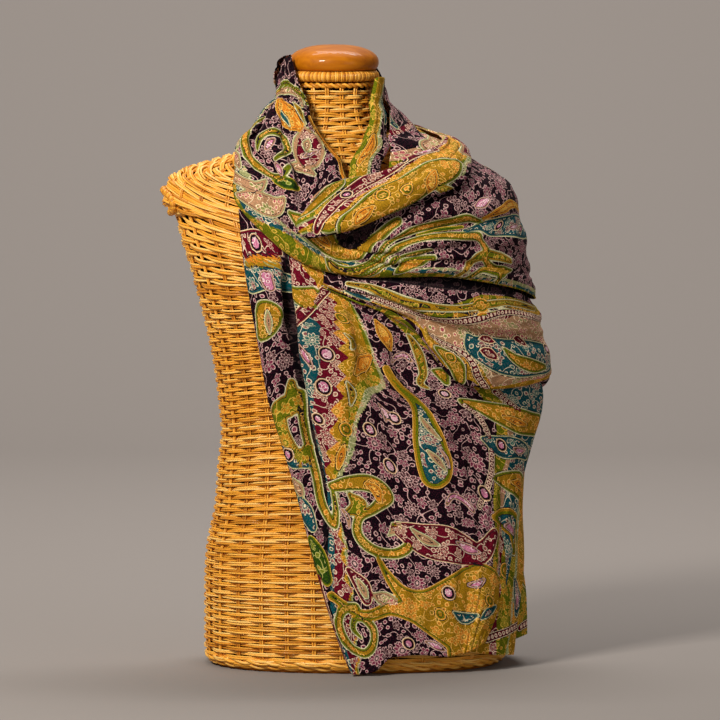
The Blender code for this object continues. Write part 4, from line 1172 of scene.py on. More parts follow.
class Wires:
    """Adds nodes to a material or a group, one call a node."""

    def __init__(self, tree):
        self.tree = tree

    def plug(self, socket, value):
        if isinstance(value, bpy.types.NodeSocket):
            self.tree.links.new(value, socket)
        else:
            socket.default_value = value

    def node(self, kind, inputs=(), **settings):
        made = self.tree.nodes.new(kind)
        for key, value in settings.items():
            setattr(made, key, value)
        for key, value in dict(inputs).items():
            self.plug(made.inputs[key], value)
        return made

    def group(self, tree, *values):
        """A node group, with its inputs in their order."""
        return self.node("ShaderNodeGroup", dict(enumerate(values)), node_tree=tree)

    def math(self, operation, *values):
        return self.node("ShaderNodeMath", dict(enumerate(values)), operation=operation).outputs[0]

    def times(self, one, other):
        return self.math("MULTIPLY", one, other)

    def plus(self, one, other):
        return self.math("ADD", one, other)

    def minus(self, one, other):
        return self.math("SUBTRACT", one, other)

    def larger(self, one, other):
        return self.math("MAXIMUM", one, other)

    def above(self, value, limit):
        return self.math("GREATER_THAN", value, limit)

    def below(self, value, limit):
        return self.math("LESS_THAN", value, limit)

    def noise(self, place, scale, detail, **settings):
        inputs = {"Vector": place, "Scale": scale, "Detail": detail}
        return self.node("ShaderNodeTexNoise", inputs, **settings)

    def relief(self, height, strength):
        """A bump map, RELIEF high where the height is 1."""
        inputs = {"Strength": strength, "Distance": RELIEF, "Height": height}
        return self.node("ShaderNodeBump", inputs).outputs[0]

    def vector(self, operation, *values):
        return self.node("ShaderNodeVectorMath", dict(enumerate(values)), operation=operation)

    def blend(self, share, below, above):
        """Two colours mixed by a share."""
        return self.node("ShaderNodeMix", {0: share, 6: below, 7: above}, data_type="RGBA").outputs[2]

    def number_blend(self, share, below, above):
        return self.node("ShaderNodeMix", {0: share, 2: below, 3: above}, data_type="FLOAT").outputs[0]

    def window(self, value, low, high):
        """1 where the value lies between two limits."""
        return self.times(self.above(value, low), self.below(value, high))

    def attribute(self, name, output="Fac"):
        return self.node("ShaderNodeAttribute", attribute_name=name).outputs[output]

    def pick(self, number, choices):
        """The choice whose place in the list is the number: colours, or numbers below RAMP_STEPS."""
        scaled = self.math("DIVIDE", self.plus(number, 0.5), RAMP_STEPS)
        ramp = self.node("ShaderNodeValToRGB", {0: scaled})
        stops = ramp.color_ramp
        stops.interpolation = "CONSTANT"
        while len(stops.elements) < len(choices):
            stops.elements.new(0.99)
        for place, choice in enumerate(choices):
            colour = choice if isinstance(choice, tuple) else (choice / RAMP_STEPS,) * 3
            stops.elements[place].position = place / RAMP_STEPS
            stops.elements[place].color = (*colour, 1.0)
        if isinstance(choices[0], tuple):
            return ramp.outputs[0]
        return self.times(ramp.outputs[0], RAMP_STEPS)


def new_group(name, inputs, outputs):
    """An empty node group with its sockets, its wires and its two end nodes. Most sockets hold a number."""
    kinds = {"Place": "NodeSocketVector", "Color": "NodeSocketColor"}
    group = bpy.data.node_groups.new(name, "ShaderNodeTree")
    for socket, value in inputs.items():
        kind = kinds.get(socket, "NodeSocketFloat")
        made = group.interface.new_socket(name=socket, in_out="INPUT", socket_type=kind)
        if value is not None:
            made.default_value = value
    for socket in outputs:
        kind = kinds.get(socket, "NodeSocketFloat")
        group.interface.new_socket(name=socket, in_out="OUTPUT", socket_type=kind)
    wires = Wires(group)
    return group, wires, wires.node("NodeGroupInput").outputs, wires.node("NodeGroupOutput").inputs


def new_material(name, surface):
    """A material, its wires and its shader, with the plain values of the surface on the shader's sockets."""
    material = bpy.data.materials.new(name)
    material.use_nodes = True
    shader = material.node_tree.nodes["Principled BSDF"]
    for socket, value in surface.items():
        shader.inputs[socket].default_value = value
    return material, Wires(material.node_tree), shader


print("node helper ready")

# %% [markdown]
# The ground of such a shawl is strewn with ringed flowers. The flower group parts the flat cloth into
# cells with one flower in each, and measures how far a place is from its flower, bent by the petals.
# Each has a thin pale rim, a fill, a gap where the ground shows, and a pale heart.

# %% Node group: ringed flowers
FULL_TURN = 6.28
SMALLEST, LARGER_BY = 0.78, 0.28  # a flower's size, and what chance adds to it
NO_FLOWER = 9.0  # what sets a cell's flower out of reach
HEART, INNER_RING = 0.45, 0.80  # edge of the heart, and of the ring round the gap, as shares of the gap
NOTCH, NOTCH_END = 0.13, 0.19  # where the line between two petals starts and ends


def make_flower_group():
    group, wires, given, out = new_group(
        "ringed flowers",
        {"Place": None, "Cell": 12.0, "Size": 0.4, "Petals": 5.0, "Depth": 0.2,
         "Share": 1.0, "Rim": 0.2, "Gap": 0.4},
        ("Fill", "Rim", "Near", "Chance"),
    )
    scaled = wires.node("ShaderNodeVectorMath", {0: given["Place"]}, operation="DIVIDE")
    wires.plug(scaled.inputs[1], given["Cell"])
    settings = {"Vector": scaled.outputs[0], "Scale": 1.0, "Randomness": 0.8}
    cells = wires.node("ShaderNodeTexVoronoi", settings, voronoi_dimensions="2D")
    away = wires.vector("SUBTRACT", scaled.outputs[0], cells.outputs["Position"])
    parts = wires.node("ShaderNodeSeparateXYZ", {0: away.outputs[0]})
    chance = wires.node("ShaderNodeSeparateColor", {0: cells.outputs["Color"]})
    turned = wires.times(chance.outputs[0], FULL_TURN)
    turn = wires.plus(wires.math("ARCTAN2", parts.outputs[1], parts.outputs[0]), turned)
    lobes = wires.math("COSINE", wires.times(turn, given["Petals"]))
    size = wires.times(given["Size"], wires.plus(1.0, wires.times(lobes, given["Depth"])))
    size = wires.times(size, wires.plus(SMALLEST, wires.times(chance.outputs[1], LARGER_BY)))
    length = wires.vector("LENGTH", away.outputs[0]).outputs["Value"]
    near = wires.math("DIVIDE", length, size)
    grown = wires.below(chance.outputs[2], given["Share"])
    near = wires.plus(near, wires.times(wires.minus(1.0, grown), NO_FLOWER))
    inner_edge = wires.minus(1.0, given["Rim"])
    heart = wires.below(near, wires.times(given["Gap"], HEART))
    ring = wires.window(near, wires.times(given["Gap"], INNER_RING), given["Gap"])
    notch = wires.times(wires.times(lobes, given["Depth"]), -1.0)
    between = wires.times(wires.window(notch, NOTCH, NOTCH_END), wires.window(near, given["Gap"], 1.0))
    petal = wires.below(notch, NOTCH)
    wires.plug(out["Fill"], wires.times(petal, wires.window(near, given["Gap"], inner_edge)))
    edge = wires.times(petal, wires.window(near, inner_edge, 1.0))
    rim = wires.larger(wires.larger(heart, ring), wires.larger(between, edge))
    wires.plug(out["Rim"], rim)
    wires.plug(out["Near"], near)
    wires.plug(out["Chance"], chance.outputs[0])
    return group


FLOWERS = make_flower_group()
print("group:", FLOWERS.name)

# %% [markdown]
# A stroke is dressed in two borders, a fill, and perhaps a row of rings along its middle. The next
# group takes the ground that lies below, and gives the ground above the stroke with its thin lines.

# %% Node group: dress of a stroke
DARK_LINE = 1.0  # width of the dark line outside the outline
PALE_LINE = 0.7  # width of the pale line inside it
INNER_LINE = (-0.2, 0.45)  # the dark line between the inner border and the fill
RING_RADII = (1.25, 2.4)
LEAST_PITCH = 0.5  # a dress with a smaller pitch has no row of rings


def make_dress_group():
    group, wires, given, out = new_group(
        "dress of a stroke",
        {"Ground": 0.0, "Outline": 10.0, "Middle": 10.0, "Run": 0.0, "Dress": 0.0},
        ("Ground", "Dark", "Pale", "Inside", "Plain"),
    )
    dress, depth = given["Dress"], wires.times(given["Outline"], -1.0)
    columns = list(zip(*DRESSES.values()))
    for k in (0, 2, 4):
        columns[k] = [GROUND_NAMES.index(ground) for ground in columns[k]]
    outer, outer_width, inner, inner_width, fill, pitch = (wires.pick(dress, column) for column in columns)
    past_outer = wires.minus(depth, outer_width)
    past_inner = wires.minus(past_outer, inner_width)
    worn = wires.number_blend(wires.below(past_inner, 0.0), fill, inner)
    worn = wires.number_blend(wires.below(past_outer, 0.0), worn, outer)
    inside = wires.above(depth, 0.0)
    wires.plug(out["Ground"], wires.number_blend(inside, given["Ground"], worn))
    wires.plug(out["Inside"], inside)
    unstrewn = wires.larger(wires.above(pitch, LEAST_PITCH), wires.below(past_inner, 0.0))
    wires.plug(out["Plain"], wires.times(inside, unstrewn))
    dark = wires.larger(wires.window(depth, -DARK_LINE, 0.0), wires.window(past_inner, *INNER_LINE))
    wires.plug(out["Dark"], dark)
    step = wires.larger(pitch, 1.0)
    along = wires.minus(wires.math("MODULO", given["Run"], step), wires.times(step, 0.5))
    flat = wires.node("ShaderNodeCombineXYZ", {0: along, 1: given["Middle"]})
    from_ring = wires.vector("LENGTH", flat.outputs[0]).outputs["Value"]
    ring = wires.window(from_ring, *RING_RADII)
    ring = wires.times(ring, wires.above(pitch, LEAST_PITCH))
    ring = wires.times(ring, wires.above(past_outer, 0.0))
    wires.plug(out["Pale"], wires.larger(ring, wires.window(depth, 0.0, PALE_LINE)))
    return group


STROKE_DRESS = make_dress_group()
print("group:", STROKE_DRESS.name)

# %% [markdown]
# The last two groups work close up. Threads give the cloth its twill relief and the flecked look of
# a weave in many colours. Dye mixes the ground, the flowers and the lines to one colour.

# %% Node groups: threads, and dye
HALF_WAVE, WAVE = 3.1416, 6.2832  # of a sine, for each thread
TWILL_SHARE, WEFT_SHARE = 0.5, 0.25
STREWN_FROM = 0.59  # threads with a higher fleck show another colour
STREWN_ON_GROUND, STREWN_ON_FLOWER = 0.16, 0.22
OTHER_FROM = 0.62  # flowers with a higher chance have the other colour
LINE_BLACK = (0.012, 0.008, 0.012, 1.0)
DARKEST, LIGHTER_BY = 0.35, 1.3  # lightness of a thread, and what its fleck adds


def make_thread_group():
    sockets = {"Place": None, "Pitch": 0.7}
    group, wires, given, out = new_group("fine wool threads", sockets, ("Height", "Fleck"))
    scaled = wires.node("ShaderNodeVectorMath", {0: given["Place"]}, operation="DIVIDE")
    wires.plug(scaled.inputs[1], given["Pitch"])
    parts = wires.node("ShaderNodeSeparateXYZ", {0: scaled.outputs[0]})
    slant = wires.plus(parts.outputs[0], parts.outputs[1])
    twill = wires.math("SINE", wires.times(slant, HALF_WAVE))
    weft = wires.math("SINE", wires.times(parts.outputs[0], WAVE))
    fleck = wires.noise(scaled.outputs[0], 0.52, 1.0, noise_dimensions="2D").outputs[0]
    height = wires.plus(wires.times(twill, TWILL_SHARE), wires.times(weft, WEFT_SHARE))
    wires.plug(out["Height"], wires.plus(height, fleck))
    wires.plug(out["Fleck"], fleck)
    return group


def make_dye_group():
    group, wires, given, out = new_group(
        "dye",
        {"Ground": 0.0, "Flower": 0.0, "Chance": 0.0, "Line": 0.0, "Dark": 0.0, "Fleck": 0.5},
        ("Color",),
    )
    dyes = zip(*GROUNDS.values())
    ground, flower, other, outline = (wires.pick(given["Ground"], colours) for colours in dyes)
    strewn = wires.above(given["Fleck"], STREWN_FROM)
    colour = wires.blend(wires.times(strewn, STREWN_ON_GROUND), ground, flower)
    petals = wires.blend(wires.above(given["Chance"], OTHER_FROM), flower, other)
    petals = wires.blend(wires.times(strewn, STREWN_ON_FLOWER), petals, outline)
    colour = wires.blend(given["Flower"], colour, petals)
    colour = wires.blend(given["Dark"], colour, LINE_BLACK)
    colour = wires.blend(given["Line"], colour, outline)
    lightness = wires.plus(DARKEST, wires.times(given["Fleck"], LIGHTER_BY))
    shaded = wires.node("ShaderNodeVectorMath", {0: colour}, operation="SCALE")
    wires.plug(shaded.inputs["Scale"], lightness)
    wires.plug(out["Color"], shaded.outputs[0])
    return group


THREADS = make_thread_group()
DYE = make_dye_group()
print("groups:", THREADS.name, "and", DYE.name)

# %% [markdown]
# One finish is made for each stretch, because each has its own bands. Flowers come in three sizes: large
# rosettes here and there, middling ones between them and small rings in what is left. Thin vines wind
# between them. Pashmina is matt with a soft sheen at a low angle, the nap that stands off the threads.

# %% Finish of the cloth
FLOWER_SIZES = (
    # cell, size, petals, depth of the petals, share of the cells that have one, rim, gap
    (34.0, 0.27, 10.0, 0.15, 0.62, 0.12, 0.46),
    (15.5, 0.37, 5.0, 0.22, 0.52, 0.17, 0.32),
    (7.9, 0.34, 4.0, 0.05, 0.68, 0.36, 0.0),
)
SWAY = (9.0, 9.0, 0.0)  # how far a slow noise moves the flowers out of their even rows
ROOM_ROUND = 1.15  # the next size of flower starts this far from one, counted in its radius
VINE = (0.488, 0.512)  # a vine follows the middle of a slow noise
THREAD_PITCH = 0.8
CLOTH_SURFACE = {"Roughness": 0.8, "Sheen Weight": 0.02, "Sheen Roughness": 0.4, "Specular IOR Level": 0.04}


def cloth_finish(name):
    material, wires, shader = new_material("pashmina " + name.replace("_", " "), CLOTH_SURFACE)
    place = wires.attribute("flat_place", "Vector")
    sway = wires.noise(place, 0.035, 1.0, noise_dimensions="2D")
    moved = wires.vector("MULTIPLY_ADD", sway.outputs["Color"], SWAY, place).outputs[0]

    bands = [GROUND_NAMES.index(row[0]) for row in BANDS[name][1]]
    ground = wires.pick(wires.math("FLOOR", wires.attribute("band")), bands)
    dark, pale, strewn = 0.0, 0.0, 1.0
    for field in ("stroke", "sprig"):
        ends = ("_outline", "_middle", "_run", "_dress")
        outline, middle, run, number = (wires.attribute(field + end) for end in ends)
        dress = wires.group(STROKE_DRESS, ground, outline, middle, run, wires.math("ROUND", number))
        ground = dress.outputs["Ground"]
        uncovered = wires.minus(1.0, dress.outputs["Inside"])
        dark = wires.larger(wires.times(dark, uncovered), dress.outputs["Dark"])
        pale = wires.larger(wires.times(pale, uncovered), dress.outputs["Pale"])
        strewn = wires.larger(wires.times(strewn, uncovered), dress.outputs["Inside"])
        strewn = wires.minus(strewn, dress.outputs["Plain"])

    flower, rim, chance, room = 0.0, 0.0, 0.0, strewn
    for flower_size in FLOWER_SIZES:
        patch = wires.group(FLOWERS, moved, *flower_size)
        mine = wires.times(patch.outputs["Fill"], room)
        flower = wires.larger(flower, mine)
        chance = wires.larger(chance, wires.times(patch.outputs["Chance"], mine))
        rim = wires.larger(rim, wires.times(patch.outputs["Rim"], room))
        room = wires.times(room, wires.above(patch.outputs["Near"], ROOM_ROUND))
    winding = wires.noise(place, 0.045, 0.0, noise_dimensions="2D").outputs[0]
    rim = wires.larger(rim, wires.times(wires.window(winding, *VINE), room))

    threads = wires.group(THREADS, place, THREAD_PITCH)
    line = wires.larger(rim, pale)
    dye = wires.group(DYE, ground, flower, chance, line, dark, threads.outputs["Fleck"])
    wires.plug(shader.inputs["Base Color"], dye.outputs["Color"])

    wires.plug(shader.inputs["Normal"], wires.relief(threads.outputs["Height"], 0.5))
    return material


print("three sizes of flower, from", FLOWER_SIZES[-1][0], "to", FLOWER_SIZES[0][0], "mm apart")

# %% [markdown]
# Split cane is a natural straw yellow that has gone honey brown under old varnish. Each strand has its
# own tone, fine streaks run along it, and the lacquer gives it a narrow shine. The cap is wood in a
# deeper orange with the same varnish, thick enough to show clear highlights.

# %% Finishes of cane and wood
STREAK_ALONG, STREAK_ROUND = 0.02, 1.6  # how fast the streaks change along a strand, and round it
STRAND_APART = 57.0  # parts the streaks of one strand from those of another
TONE_BY_STRAND, TONE_BY_STREAK, TONE_LOWER = 0.55, 0.75, 0.15
OLD_CANE = 0.12  # how much darker the aged cane is
CANE_SURFACE = {"Roughness": 0.5, "Specular IOR Level": 0.25, "Coat Weight": 0.2, "Coat Roughness": 0.2}
WOOD_SURFACE = {"Roughness": 0.5, "Specular IOR Level": 0.12, "Coat Weight": 0.22, "Coat Roughness": 0.07}


def make_cane_group():
    group, wires, given, out = new_group("cane colour", {"Place": None, "Age": 0.0}, ("Color", "Height"))
    parts = wires.node("ShaderNodeSeparateXYZ", {0: given["Place"]})
    along = wires.times(parts.outputs[0], STREAK_ALONG)
    apart = wires.times(parts.outputs[2], STRAND_APART)
    around = wires.times(parts.outputs[1], STREAK_ROUND)
    spot = wires.node("ShaderNodeCombineXYZ", {0: along, 1: around, 2: apart})
    streaks = wires.noise(spot.outputs[0], 3.0, 3.0).outputs[0]
    tone = wires.plus(wires.times(parts.outputs[2], TONE_BY_STRAND), wires.times(streaks, TONE_BY_STREAK))
    tone = wires.minus(tone, wires.plus(TONE_LOWER, given["Age"]))
    ramp = wires.node("ShaderNodeValToRGB", {0: tone})
    stops = ramp.color_ramp.elements
    stops[0].position, stops[0].color = 0.10, (0.40, 0.110, 0.006, 1.0)
    stops[1].position, stops[1].color = 0.85, (1.0, 0.66, 0.20, 1.0)
    middle = stops.new(0.48)
    middle.color = (0.95, 0.43, 0.036, 1.0)
    wires.plug(out["Color"], ramp.outputs[0])
    wires.plug(out["Height"], streaks)
    return group


CANE_COLOUR = make_cane_group()


def cane_finish(name, aged):
    material, wires, shader = new_material(name, CANE_SURFACE)
    cane = wires.group(CANE_COLOUR, wires.attribute("cane_place", "Vector"), OLD_CANE if aged else 0.0)
    wires.plug(shader.inputs["Base Color"], cane.outputs["Color"])
    wires.plug(shader.inputs["Normal"], wires.relief(cane.outputs["Height"], 0.25))
    return material


def varnished_wood():
    material, wires, shader = new_material("varnished wood", WOOD_SURFACE)
    place = wires.node("ShaderNodeTexCoord").outputs["Object"]
    stretched = wires.vector("MULTIPLY", place, (22.0, 150.0, 150.0)).outputs[0]
    rings = wires.noise(stretched, 1.0, 4.0)
    wires.plug(rings.inputs["Distortion"], 0.6)
    clouds = wires.noise(place, 28.0, 2.0)
    tone = wires.plus(wires.times(rings.outputs[0], 0.6), wires.times(clouds.outputs[0], 0.4))
    ramp = wires.node("ShaderNodeValToRGB", {0: tone})
    stops = ramp.color_ramp.elements
    stops[0].position, stops[0].color = 0.30, (0.32, 0.076, 0.001, 1.0)
    stops[1].position, stops[1].color = 0.70, (0.58, 0.18, 0.003, 1.0)
    wires.plug(shader.inputs["Base Color"], ramp.outputs[0])
    return material


print("finishes: cloth, cane and wood")

# %% [markdown]
# Now each stretch is laid out, creased and given its shell. The fall beside the neck, the drape over
# the shoulder and the fall down the back are one piece of cloth here, because no seam parts them.
# The numbers after each name are the first and last column of its table.

# %% The stretches of the shawl
GRAIN = 2.7  # millimetres from one point of the grid to the next
EDGE_CALM = 6.0  # creases fade out over this width at the edges

CREASES = {
    # from along, from across, to along, to across, width, height: less than nought for a trough
    "front_end": (
        (0, 76, 120, 44, 7, -8.0), (50, 52, 215, 46, 6, -8.0), (160, 50, 310, 28, 6, -8.0),
        (10, 92, 150, 62, 7, 3.5), (120, 62, 260, 52, 7, 3.5), (30, 138, 180, 108, 7, 4.8),
        (150, 112, 260, 68, 7, 3.8), (50, 96, 245, 54, 6, 1.9), (20, 26, 200, 16, 8, 2.9),
        (110, 160, 245, 200, 9, 3.8), (100, 176, 250, 214, 6, -3.2), (60, 192, 150, 200, 7, -3.8),
        (70, 184, 320, 190, 9, -3.5), (150, 236, 250, 244, 8, 3.5), (220, 148, 480, 50, 10, -3.5),
        (250, 214, 470, 176, 11, 3.8), (255, 172, 480, 98, 8, 2.6), (235, 270, 440, 216, 10, -3.8),
        (280, 290, 440, 250, 8, 2.9), (300, 66, 475, 24, 8, -2.6), (330, 120, 490, 80, 7, 2.2),
    ),
    "front_end_second_layer": (
        (20, 20, 280, 60, 9, 2.9), (60, 80, 280, 100, 8, -2.6),
    ),
    "side_end": (
        (20, 30, 290, 50, 9, -2.9), (40, 90, 290, 110, 9, 3.2), (150, 60, 295, 84, 7, 1.9),
    ),
    "over_shoulder": (
        (20, 50, 180, 128, 6, -2.6), (30, 30, 185, 84, 6, 3.2), (70, 28, 180, 66, 5, -2.9),
        (50, 70, 150, 124, 6, 2.9), (100, 22, 180, 53, 5, 2.4), (20, 20, 120, 10, 5, -1.9),
        (275, 38, 400, 44, 6, 2.4), (300, 22, 440, 60, 6, -2.6), (314, 66, 460, 112, 7, 3.2),
        (330, 80, 430, 112, 6, -3.8), (400, 70, 520, 120, 8, -2.9), (380, 20, 500, 76, 8, 2.9),
        (430, 24, 520, 60, 7, -2.6), (490, 60, 520, 180, 8, 2.4), (560, 40, 860, 60, 12, -4.0),
        (580, 90, 880, 110, 12, 4.0), (560, 140, 800, 150, 10, -3.5), (620, 180, 840, 190, 9, 3.2),
        (700, 20, 890, 30, 9, 2.6),
    ),
    "right_neck_roll": (
        (20, 7, 115, 19, 4, -1.6),
    ),
    "neck_wrap": (
        (190, 16, 265, 88, 6, -2.6), (40, 20, 250, 40, 6, 1.9), (60, 60, 290, 92, 7, -2.2),
    ),
    "chest_swag": (
        (22, 60, 210, 36, 7, -2.6), (40, 80, 200, 68, 7, 2.9), (70, 38, 180, 20, 5, -2.2),
        (60, 90, 230, 60, 6, -3.2), (260, 40, 700, 50, 10, 2.9), (260, 70, 720, 90, 9, -2.9),
    ),
    "belly_drape": (
        (20, 6, 330, 5, 6, -5.0), (250, 24, 345, 22, 7, -3.5), (28, 18, 200, 56, 7, 2.2),
        (40, 50, 195, 98, 9, -7.0), (60, 34, 230, 46, 7, 3.5), (100, 78, 210, 124, 8, 4.0),
        (120, 58, 300, 80, 8, -2.9), (140, 90, 200, 140, 7, -3.2), (190, 60, 330, 60, 8, 2.2),
        (300, 40, 520, 50, 9, -2.9), (320, 90, 520, 110, 10, 3.2),
    ),
}

# piece, nodes that it stands for, folds, first and last column, seed of its ripple
STRETCHES = (
    ("front_end", ("front_end",), FRONT_END_FOLDS, 0, 5, 11),
    ("front_end_second_layer", ("front_end_second_layer",), FRONT_END_SECOND_LAYER_FOLDS, 0, 3, 12),
    ("side_end", ("side_end",), SIDE_END_FOLDS, 0, 4, 13),
    ("over_shoulder", ("left_neck_fall", "shoulder_drape", "back_fall"), OVER_SHOULDER_FOLDS, 0, 11, 14),
    ("right_neck_roll", ("right_neck_roll",), RIGHT_NECK_ROLL_FOLDS, 0, 3, 15),
    ("neck_wrap", ("neck_wrap",), NECK_WRAP_FOLDS, 0, 5, 16),
    ("chest_swag", ("chest_swag",), CHEST_SWAG_FOLDS, 0, 8, 17),
    ("belly_drape", ("belly_drape",), BELLY_DRAPE_FOLDS, 0, 7, 18),
)


def add_design(mesh, name, u, v, across):
    """Each point keeps the numbers of the design that the finish reads."""
    twice = lambda field: np.tile(field.ravel(), 2)
    add_numbers(mesh, "flat_place", np.stack([twice(u), twice(across), twice(u * 0)], axis=1))
    add_numbers(mesh, "band", twice(band_number(name, u, v)))
    rim_faces = len(mesh.polygons) - 2 * (u.shape[0] - 1) * (u.shape[1] - 1)
    for field, strokes in (("stroke", MOTIFS[name]), ("sprig", SPRIGS[name])):
        outline, middle, run, dress = nearest_stroke(u, across, strokes)
        add_numbers(mesh, field + "_outline", twice(outline))
        add_numbers(mesh, field + "_middle", twice(middle))
        add_numbers(mesh, field + "_run", twice(run))
        face_dress = np.concatenate([twice(dress[:-1, :-1]), np.zeros(rim_faces)])
        add_numbers(mesh, field + "_dress", face_dress, "FACE")


def add_stretch(name, nodes, folds, first, last, seed):
    points, u, v = lay_out(folds, first, last, GRAIN)
    across = run_across(points)
    inward = 1.0 - np.exp(-((np.minimum(v, v.max() - v) / EDGE_CALM) ** 2))
    relief = (soft_strokes(u, across, CREASES[name]) + low_ripple(u, v, seed)) * inward
    points = push_clear_of_form(points + out_of_sheet(points) * relief[..., None], CLOTH_OFF_FORM)
    mesh = shell(name + "_cloth", points, points + out_of_sheet(points) * CLOTH)
    add_design(mesh, name, u, v, across)
    piece = show(name + "_cloth", mesh)
    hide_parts(*nodes)
    mesh.materials.append(cloth_finish(name))


for stretch in STRETCHES:
    add_stretch(*stretch)

# %% [markdown]
# The form is woven: upright stakes, and rows of paired cane strands that pass in front of one stake and
# behind the next, changing places from row to row. Where a row goes behind a stake, a dark gap opens
# beside it. Real strands are modelled, because no bump map gives that depth. Each one is a thin
# tube along a path, and many tubes are kept together as one piece.

# %% Tubes along a path


class Tubes:
    """Collects tubes, to be shown as one piece."""

    def __init__(self, sides=5):
        self.sides, self.count = sides, 0
        self.points, self.quads, self.caps, self.place = [], [], [], []

    def add(self, path, out, radius, closed, tone):
        """A tube along a path. out is the side that faces away from the form."""
        count, sides = len(path), self.sides
        ahead = np.gradient(path, axis=0)
        if closed:
            ahead = np.roll(path, -1, axis=0) - np.roll(path, 1, axis=0)
        side = unit(np.cross(ahead, out))
        out = unit(np.cross(side, ahead))
        angle = np.linspace(0, 2 * math.pi, sides, endpoint=False)
        ring = out[:, None] * np.cos(angle)[:, None] + side[:, None] * np.sin(angle)[:, None]
        thick = np.broadcast_to(radius, (count,))[:, None, None]
        self.points.append((path[:, None] + ring * thick).reshape(-1, 3))
        index = self.count + np.arange(count * sides).reshape(count, sides)
        self.quads.append(lapped_faces(np.concatenate([index, index[:1]]) if closed else index, turned=True))
        if not closed:
            self.caps.append(np.stack([index[0], index[-1, ::-1]]))
        run = run_of(steps_between(path, 0))
        place = np.stack([np.repeat(run, sides), np.tile(angle, count), np.full(count * sides, tone)], axis=1)
        self.place.append(place)
        self.count += count * sides

    def piece(self, name, finish, slot):
        faces = [np.concatenate(self.quads)] + ([np.concatenate(self.caps)] if self.caps else [])
        mesh = mesh_from_arrays(name, np.concatenate(self.points), faces)
        add_numbers(mesh, "cane_place", np.concatenate(self.place))
        mesh.materials.append(finish)
        piece = show(name, mesh)
        print(name, "faces", len(mesh.polygons))
        return piece


cane_draw = np.random.default_rng(5)
print("a tube has", Tubes().sides, "sides")

# %% [markdown]
# A row is level low down. Towards the top it climbs from the chest to the end of the shoulder, so
# the rows fan out there, and short extra rows fill the fan. The plan below gives, for a height at
# the middle of the chest, the height that the same row reaches at the side.

# %% The plan of the rows
STAKES = 30
NECK_STAKES = 14
ROW_PITCH = 4.95
STRAND = 1.2  # radius of a strand
SWING = 2.5  # how far a row swings in and out
PROUD = 0.5  # how far the outermost strands stand out of the smooth form
WAIST = 300.0
FIRST_ROW, LAST_ROW = 6.0, 657.0
CLIMB = 2.3  # the higher, the nearer to the side a row does its climbing

ROW_PLAN = (
    # height at the chest, height at the side
    (0, 0), (425, 425), (455, 470), (480, 510), (494, 530), (507, 556), (520, 568),
    (545, 580), (575, 592), (600, 605), (620, 621), (664, 664),
)


def form_surface(turn, height):
    """Points of the smooth form, and unit vectors out of it."""
    centre, width, depth = section_at(FORM_SECTIONS, height)
    across, along = superellipse(turn, FORM_ROUNDNESS)
    points = np.stack([centre + width * across, depth * along, height], axis=-1)
    out = outward_slope(FORM_SECTIONS, FORM_ROUNDNESS, points)
    return points, unit(out)


def even_turns(count):
    """Turns that part the form's waist evenly, so that the stakes stand evenly round it."""
    turn = np.linspace(0, 2 * math.pi, 721)
    points, _ = form_surface(turn, np.full(len(turn), WAIST))
    run = run_of(steps_between(points, 0))
    return np.interp(np.linspace(0, run[-1], count, endpoint=False), run, turn)


def row_height(chest, turn):
    """Height of the row that starts at this chest height, at each turn."""
    plan = np.array(ROW_PLAN, float)
    side = read_curve(plan[:, 0], plan[:, 1:], np.array([chest]), steady_slopes)[0, 0]
    return chest + (side - chest) * np.abs(np.cos(turn)) ** CLIMB


def chest_heights():
    """Heights of the rows at the middle of the chest, an even pitch apart along the form."""
    height = np.linspace(FIRST_ROW, LAST_ROW, 1200)
    points, _ = form_surface(np.full(len(height), -math.pi / 2), height)
    run = run_of(steps_between(points, 0))
    return np.interp(np.arange(0, run[-1], ROW_PITCH), run, height)


rows = chest_heights()
print(len(rows), "rows of paired strands")

# %% [markdown]
# Every row swings in and out between the stakes. Its two strands lie one over the other. Their radius
# follows the room between this row and the next, with a little left to chance, because no two canes are
# alike. A short row is kept only where its neighbours leave room for it, and its ends dive inward.

# %% Weave the rows
STOPS = 5  # places along a strand from one stake to the next
LEAST_ROOM, MOST_ROOM = 4.2, 6.4  # limits of the room that sets a pair's thickness
PAIR_RADIUS, PAIR_APART = 0.245, 0.24  # radius of a strand, and half the way to its twin, as shares of it
DIVE, DIVE_OVER = 4.0, 1.2  # how deep the end of a short row dives, and over how many places
SHORTEST = 6  # places in the shortest row that is woven


